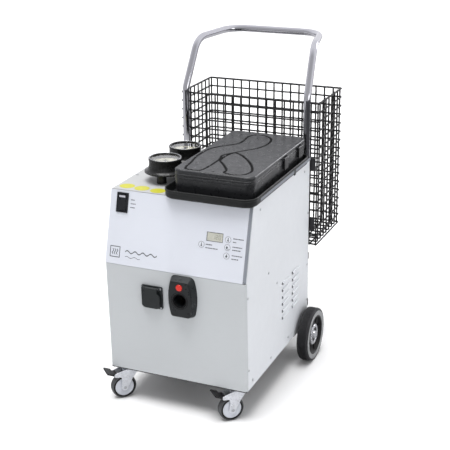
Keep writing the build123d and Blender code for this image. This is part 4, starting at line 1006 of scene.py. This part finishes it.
def make_display_digits():
    """Two seven-segment figures and a dark window edge."""
    x0, up = 120.5, 124.0
    digits = {"1": "bc", "2": "abged", "0": "abcdef"}
    segments = {"a": (0, 6, 3, 0), "b": (3, 3, 0, 3), "c": (3, -3, 0, 3), "d": (0, -6, 3, 0), "e": (-3, -3, 0, 3),
                "f": (-3, 3, 0, 3), "g": (0, 0, 3, 0)}
    shapes = []
    for place, digit in zip((2.0, 11.0, 20.0), "120"):
        for segment in digits[digit]:
            cu, cv, du, dv = segments[segment]
            half_u, half_v = max(du * 0.8, 0.55), max(dv * 0.8, 0.55)
            cu, cv = cu * 0.85 + place - 5.0 + x0, cv + up
            shapes.append([(cu - half_u, cv - half_v), (cu + half_u, cv - half_v), (cu + half_u, cv + half_v),
                           (cu - half_u, cv + half_v)])
    fascia_piece("display_digits", shapes, PALE_DIGIT, "display_grey", -0.58, -0.45)
    half_u, half_v, rim = 25.8, 13.5, 1.3
    frame_bars = [(-half_u, half_u, half_v - rim, half_v), (-half_u, half_u, -half_v, rim - half_v),
                  (-half_u, rim - half_u, -half_v, half_v), (half_u - rim, half_u, -half_v, half_v)]
    shapes = [[(x0 + a, up + c), (x0 + b, up + c), (x0 + b, up + d), (x0 + a, up + d)] for a, b, c, d in frame_bars]
    fascia_piece("display_border", shapes, INK, "display_grey", 0.0, 0.3)


PALE_DIGIT = paper_print("digit_grey", (0.20, 0.20, 0.17), 0.4)


def make_top_labels():
    """Three blank oval labels along the front left edge of the top."""
    top = node_box("top_panel")[1].z
    for index, (x, y) in enumerate(((-196, -178), (-144, -182), (-89, -186))):
        outline = [(x + 24 * cos(radians(a)), y + 21 * sin(radians(a))) for a in range(0, 360, 10)]
        label = Builder()
        label.add(*slab(outline, top + 0.02, top + 0.3, lambda u, v, w: Vector((u, v, w))))
        label.piece(f"blank_label_{index + 1}", "panel_light", "cabinet", material=STICKER, angle=20)


SWITCH_UP = 188.0
PADDLE_DIP = 2.0
PADDLE_SLOPE = 3.5 / 23.6


def make_switch_mark():
    """Pale strip across the raised upper end of the rocker."""
    low, high = node_box("switch_rocker")
    centre = (low.x + high.x) / 2
    strip = Builder()
    points = []
    for w in (0.03, 0.22):
        for u, v in ((-10.0, 15.5), (10.0, 15.5), (10.0, 21.5), (-10.0, 21.5)):
            points.append(FASCIA.at(centre + u, SWITCH_UP + v, PADDLE_DIP + PADDLE_SLOPE * v + w))
    strip.add(points, [(3, 2, 1, 0), (4, 5, 6, 7), (0, 1, 5, 4), (1, 2, 6, 5), (2, 3, 7, 6), (3, 0, 4, 7)])
    strip.piece("switch_label", "switch_black", "rocker", material=PALE_MARK, placed=True, angle=25)


def make_outlet_details():
    """Turned collar round the hose port, in the shade black: painted shade of a dark recess round the port."""
    up = 391.5 - KNEE_Z
    centre = LOWER.at(29.0, up, 25.0)
    axis = LOWER.out
    collar = Builder()
    scale = [(-0.0035, 0.0278), (0.0006, 0.0278), (0.0011, 0.0270), (0.0009, 0.0240), (0.0005, 0.0196),
             (-0.0035, 0.0196)]
    collar.add(*lathe(scale, centre, axis, 64))
    collar.piece("port_collar", "outlet_black", "cabinet", material=SHADE_BLACK, placed=True)


def make_edges():
    """Dark lip of the base pan under the front panel, and the recessed grey strip beside the fascia."""
    low, _ = node_box("front_panel")
    lip = Builder()
    edge_y = -HALF_DEPTH + 10.0
    lip.add(*slab([(-228, edge_y + 1.0), (228, edge_y + 1.0), (228, edge_y + 12), (-228, edge_y + 12)],
                  low.z - 3.5, low.z + 2.0, lambda u, v, w: Vector((u, v, w))))
    lip.piece("base_lip", "steel_dark", "cabinet", angle=25)
    strip = Builder()
    strip.add(*slab([(219.6, 3.0), (228.6, 3.0), (228.6, 221.5), (219.6, 221.5)], -1.2, -0.4, on_fascia))
    strip.piece("fascia_edge_strip", "panel_grey", "cabinet", material=STRIP_GREY, placed=True, angle=25)


def make_caps():
    """Silver corner screws on the socket cover's flange."""
    up = 378.0 - KNEE_Z
    screws = Builder()
    for side in (-1, 1):
        for end in (-1, 1):
            centre = LOWER.at(-73.0 + side * 30.0, up + end * 31.0, 6.75)
            profile = [(0.0, 0.00005), (0.0, 0.0032), (0.0006, 0.0030), (0.0009, 0.0018), (0.0009, 0.00005)]
            screws.add(*lathe(profile, centre, LOWER.out, 20))
    screws.piece("socket_screws", "screw_steel", "cabinet", placed=True)


SKY = 0.55
SUN = 3.5


# ---- stage -------------------------------------------------------------------------------------------------------------------
def make_stage():
    floor_mesh = bpy.data.meshes.new("studio_floor")
    reach = 40.0
    floor_mesh.from_pydata([(-reach, -reach, 0), (reach, -reach, 0), (reach, reach, 0), (-reach, reach, 0)], [],
                           [(0, 1, 2, 3)])
    m = Nodes("studio_floor")
    tone = m.blend(m.spread(m.noise(2.0, 2.0), 0.0, 1.0), (0.90, 0.90, 0.905), (0.93, 0.93, 0.935))
    # Mirror rays see the floor painted mid grey, going near black from about a metre out towards the front right:
    # painted reflection for the chrome and other glossy parts.
    split = m.add("ShaderNodeVectorMath", operation="DOT_PRODUCT")
    split.inputs[1].default_value = (0.809, -0.588, 0.0)
    m.link(m.place, split.inputs[0])
    far_mirror_mask = m.spread(split.outputs["Value"], 0.0, 1.0, 0.95, 1.35)
    painted_mirror_tone = m.blend(far_mirror_mask, (0.42, 0.42, 0.43), (0.02, 0.02, 0.022))
    tone = m.blend(m.add("ShaderNodeLightPath").outputs["Is Glossy Ray"], tone, painted_mirror_tone)
    m.put(colour=tone, rough=0.7, specular=0.15)
    floor_mesh.materials.append(m.material)
    floor = bpy.data.objects.new("studio_floor", floor_mesh)
    bpy.context.scene.collection.objects.link(floor)


def make_world():
    """Soft white surround.  Mirror rays see a studio instead: bright behind, dimmer in front, a lamp on the right."""
    world = bpy.data.worlds.new("studio")
    bpy.context.scene.world = world
    world.use_nodes = True
    tree = world.node_tree
    background = tree.nodes["Background"]
    coord = tree.nodes.new("ShaderNodeTexCoord")

    def ramp_along(direction, stops):
        dot = tree.nodes.new("ShaderNodeVectorMath")
        dot.operation = "DOT_PRODUCT"
        dot.inputs[1].default_value = Vector(direction).normalized()
        half = tree.nodes.new("ShaderNodeMath")
        half.operation = "MULTIPLY_ADD"
        half.inputs[1].default_value = 0.5
        half.inputs[2].default_value = 0.5
        ramp = tree.nodes.new("ShaderNodeValToRGB")
        tree.links.new(coord.outputs["Generated"], dot.inputs[0])
        tree.links.new(dot.outputs["Value"], half.inputs[0])
        tree.links.new(half.outputs["Value"], ramp.inputs["Fac"])
        for index, (place, tone) in enumerate(stops):
            element = ramp.color_ramp.elements[index] if index < 2 else ramp.color_ramp.elements.new(place)
            element.position = place
            element.color = (tone, tone, tone * 1.02, 1)
        return ramp.outputs["Color"]

    depth = ramp_along((0.0, 1.0, 0.25), ((0.30, 0.55), (0.62, 1.0)))
    strip = ramp_along((0.42, 0.87, 0.28), ((0.985, 1.0), (0.993, 6.0)))
    picture = tree.nodes.new("ShaderNodeMix")
    picture.data_type = "RGBA"
    picture.blend_type = "MULTIPLY"
    path = tree.nodes.new("ShaderNodeLightPath")
    mix = tree.nodes.new("ShaderNodeMix")
    mix.data_type = "RGBA"

    def sockets(node):
        factor = [i for i in node.inputs if i.name == "Factor" and i.type == "VALUE"][0]
        first, second = [i for i in node.inputs if i.type == "RGBA"]
        return factor, first, second, [o for o in node.outputs if o.type == "RGBA"][0]

    factor, first, second, product = sockets(picture)
    factor.default_value = 1.0
    tree.links.new(depth, first)
    tree.links.new(strip, second)
    factor, first, second, result = sockets(mix)
    first.default_value = (SKY, SKY, SKY * 1.01, 1.0)
    tree.links.new(path.outputs["Is Glossy Ray"], factor)
    tree.links.new(product, second)
    tree.links.new(result, background.inputs["Color"])
    background.inputs["Strength"].default_value = 1.0


def area_light(name, place, target, size, power):
    light = bpy.data.lights.new(name, "AREA")
    light.shape = "DISK"
    light.size = size
    light.energy = power
    lamp = bpy.data.objects.new(name, light)
    lamp.location = place
    lamp.rotation_euler = (Vector(target) - Vector(place)).to_track_quat("-Z", "Y").to_euler()
    bpy.context.scene.collection.objects.link(lamp)


def make_lights():
    """Wide overhead softbox as a sun with a large disc, and a soft fill from the right."""
    light = bpy.data.lights.new("overhead", "SUN")
    light.energy = SUN
    light.angle = radians(42)
    lamp = bpy.data.objects.new("overhead", light)
    lamp.rotation_euler = Vector((0.06, 0.14, -1.0)).to_track_quat("-Z", "Y").to_euler()
    bpy.context.scene.collection.objects.link(lamp)
    mirrors = bpy.data.collections.new("kept_out_of_the_softbox")
    mirrors.objects.link(frame["nodes"]["push_handle"])
    lamp.light_linking.receiver_collection = mirrors
    mirrors.collection_objects[0].light_linking.link_state = "EXCLUDE"
    area_light("right_fill", (3.4, -1.4, 1.6), (0.0, -0.1, 0.4), 1.6, 14.0)


def make_camera():
    """Long lens from the front right, above the tray."""
    turn, tilt, roll = radians(23.45), radians(19.134), radians(-0.561)
    back = Vector((sin(turn) * cos(tilt), -cos(turn) * cos(tilt), sin(tilt)))
    right = Vector((cos(turn), sin(turn), 0.0))
    up = back.cross(right)
    right, up = cos(roll) * right + sin(roll) * up, cos(roll) * up - sin(roll) * right
    camera = bpy.data.cameras.new("camera")
    camera.lens = 85.48
    camera.sensor_width = 36.0
    camera.shift_x = 0.0036
    camera.shift_y = -0.0497
    camera.clip_end = 200.0
    holder = bpy.data.objects.new("camera", camera)
    basis = Matrix((right, up, back)).transposed().to_4x4()
    holder.matrix_world = Matrix.Translation(spot(1291.8, -2879.2, 1691.6)) @ basis
    bpy.context.scene.collection.objects.link(holder)
    bpy.context.scene.camera = holder


dress_cad_nodes()
make_basket()
make_tray()
make_lid()
make_base()
for side, tag in ((-1, "left"), (1, "right")):
    make_rear_wheel(side, tag)
    make_caster(side, tag)
for index, tag in enumerate(("front", "rear")):
    make_gauge(tag, index)
make_fascia_print()
make_display_digits()
make_top_labels()
make_switch_mark()
make_outlet_details()
make_caps()
make_edges()
make_stage()
make_world()
make_lights()
make_camera()
scene = bpy.context.scene
scene.view_settings.view_transform = "Standard"
scene.view_settings.look = "None"
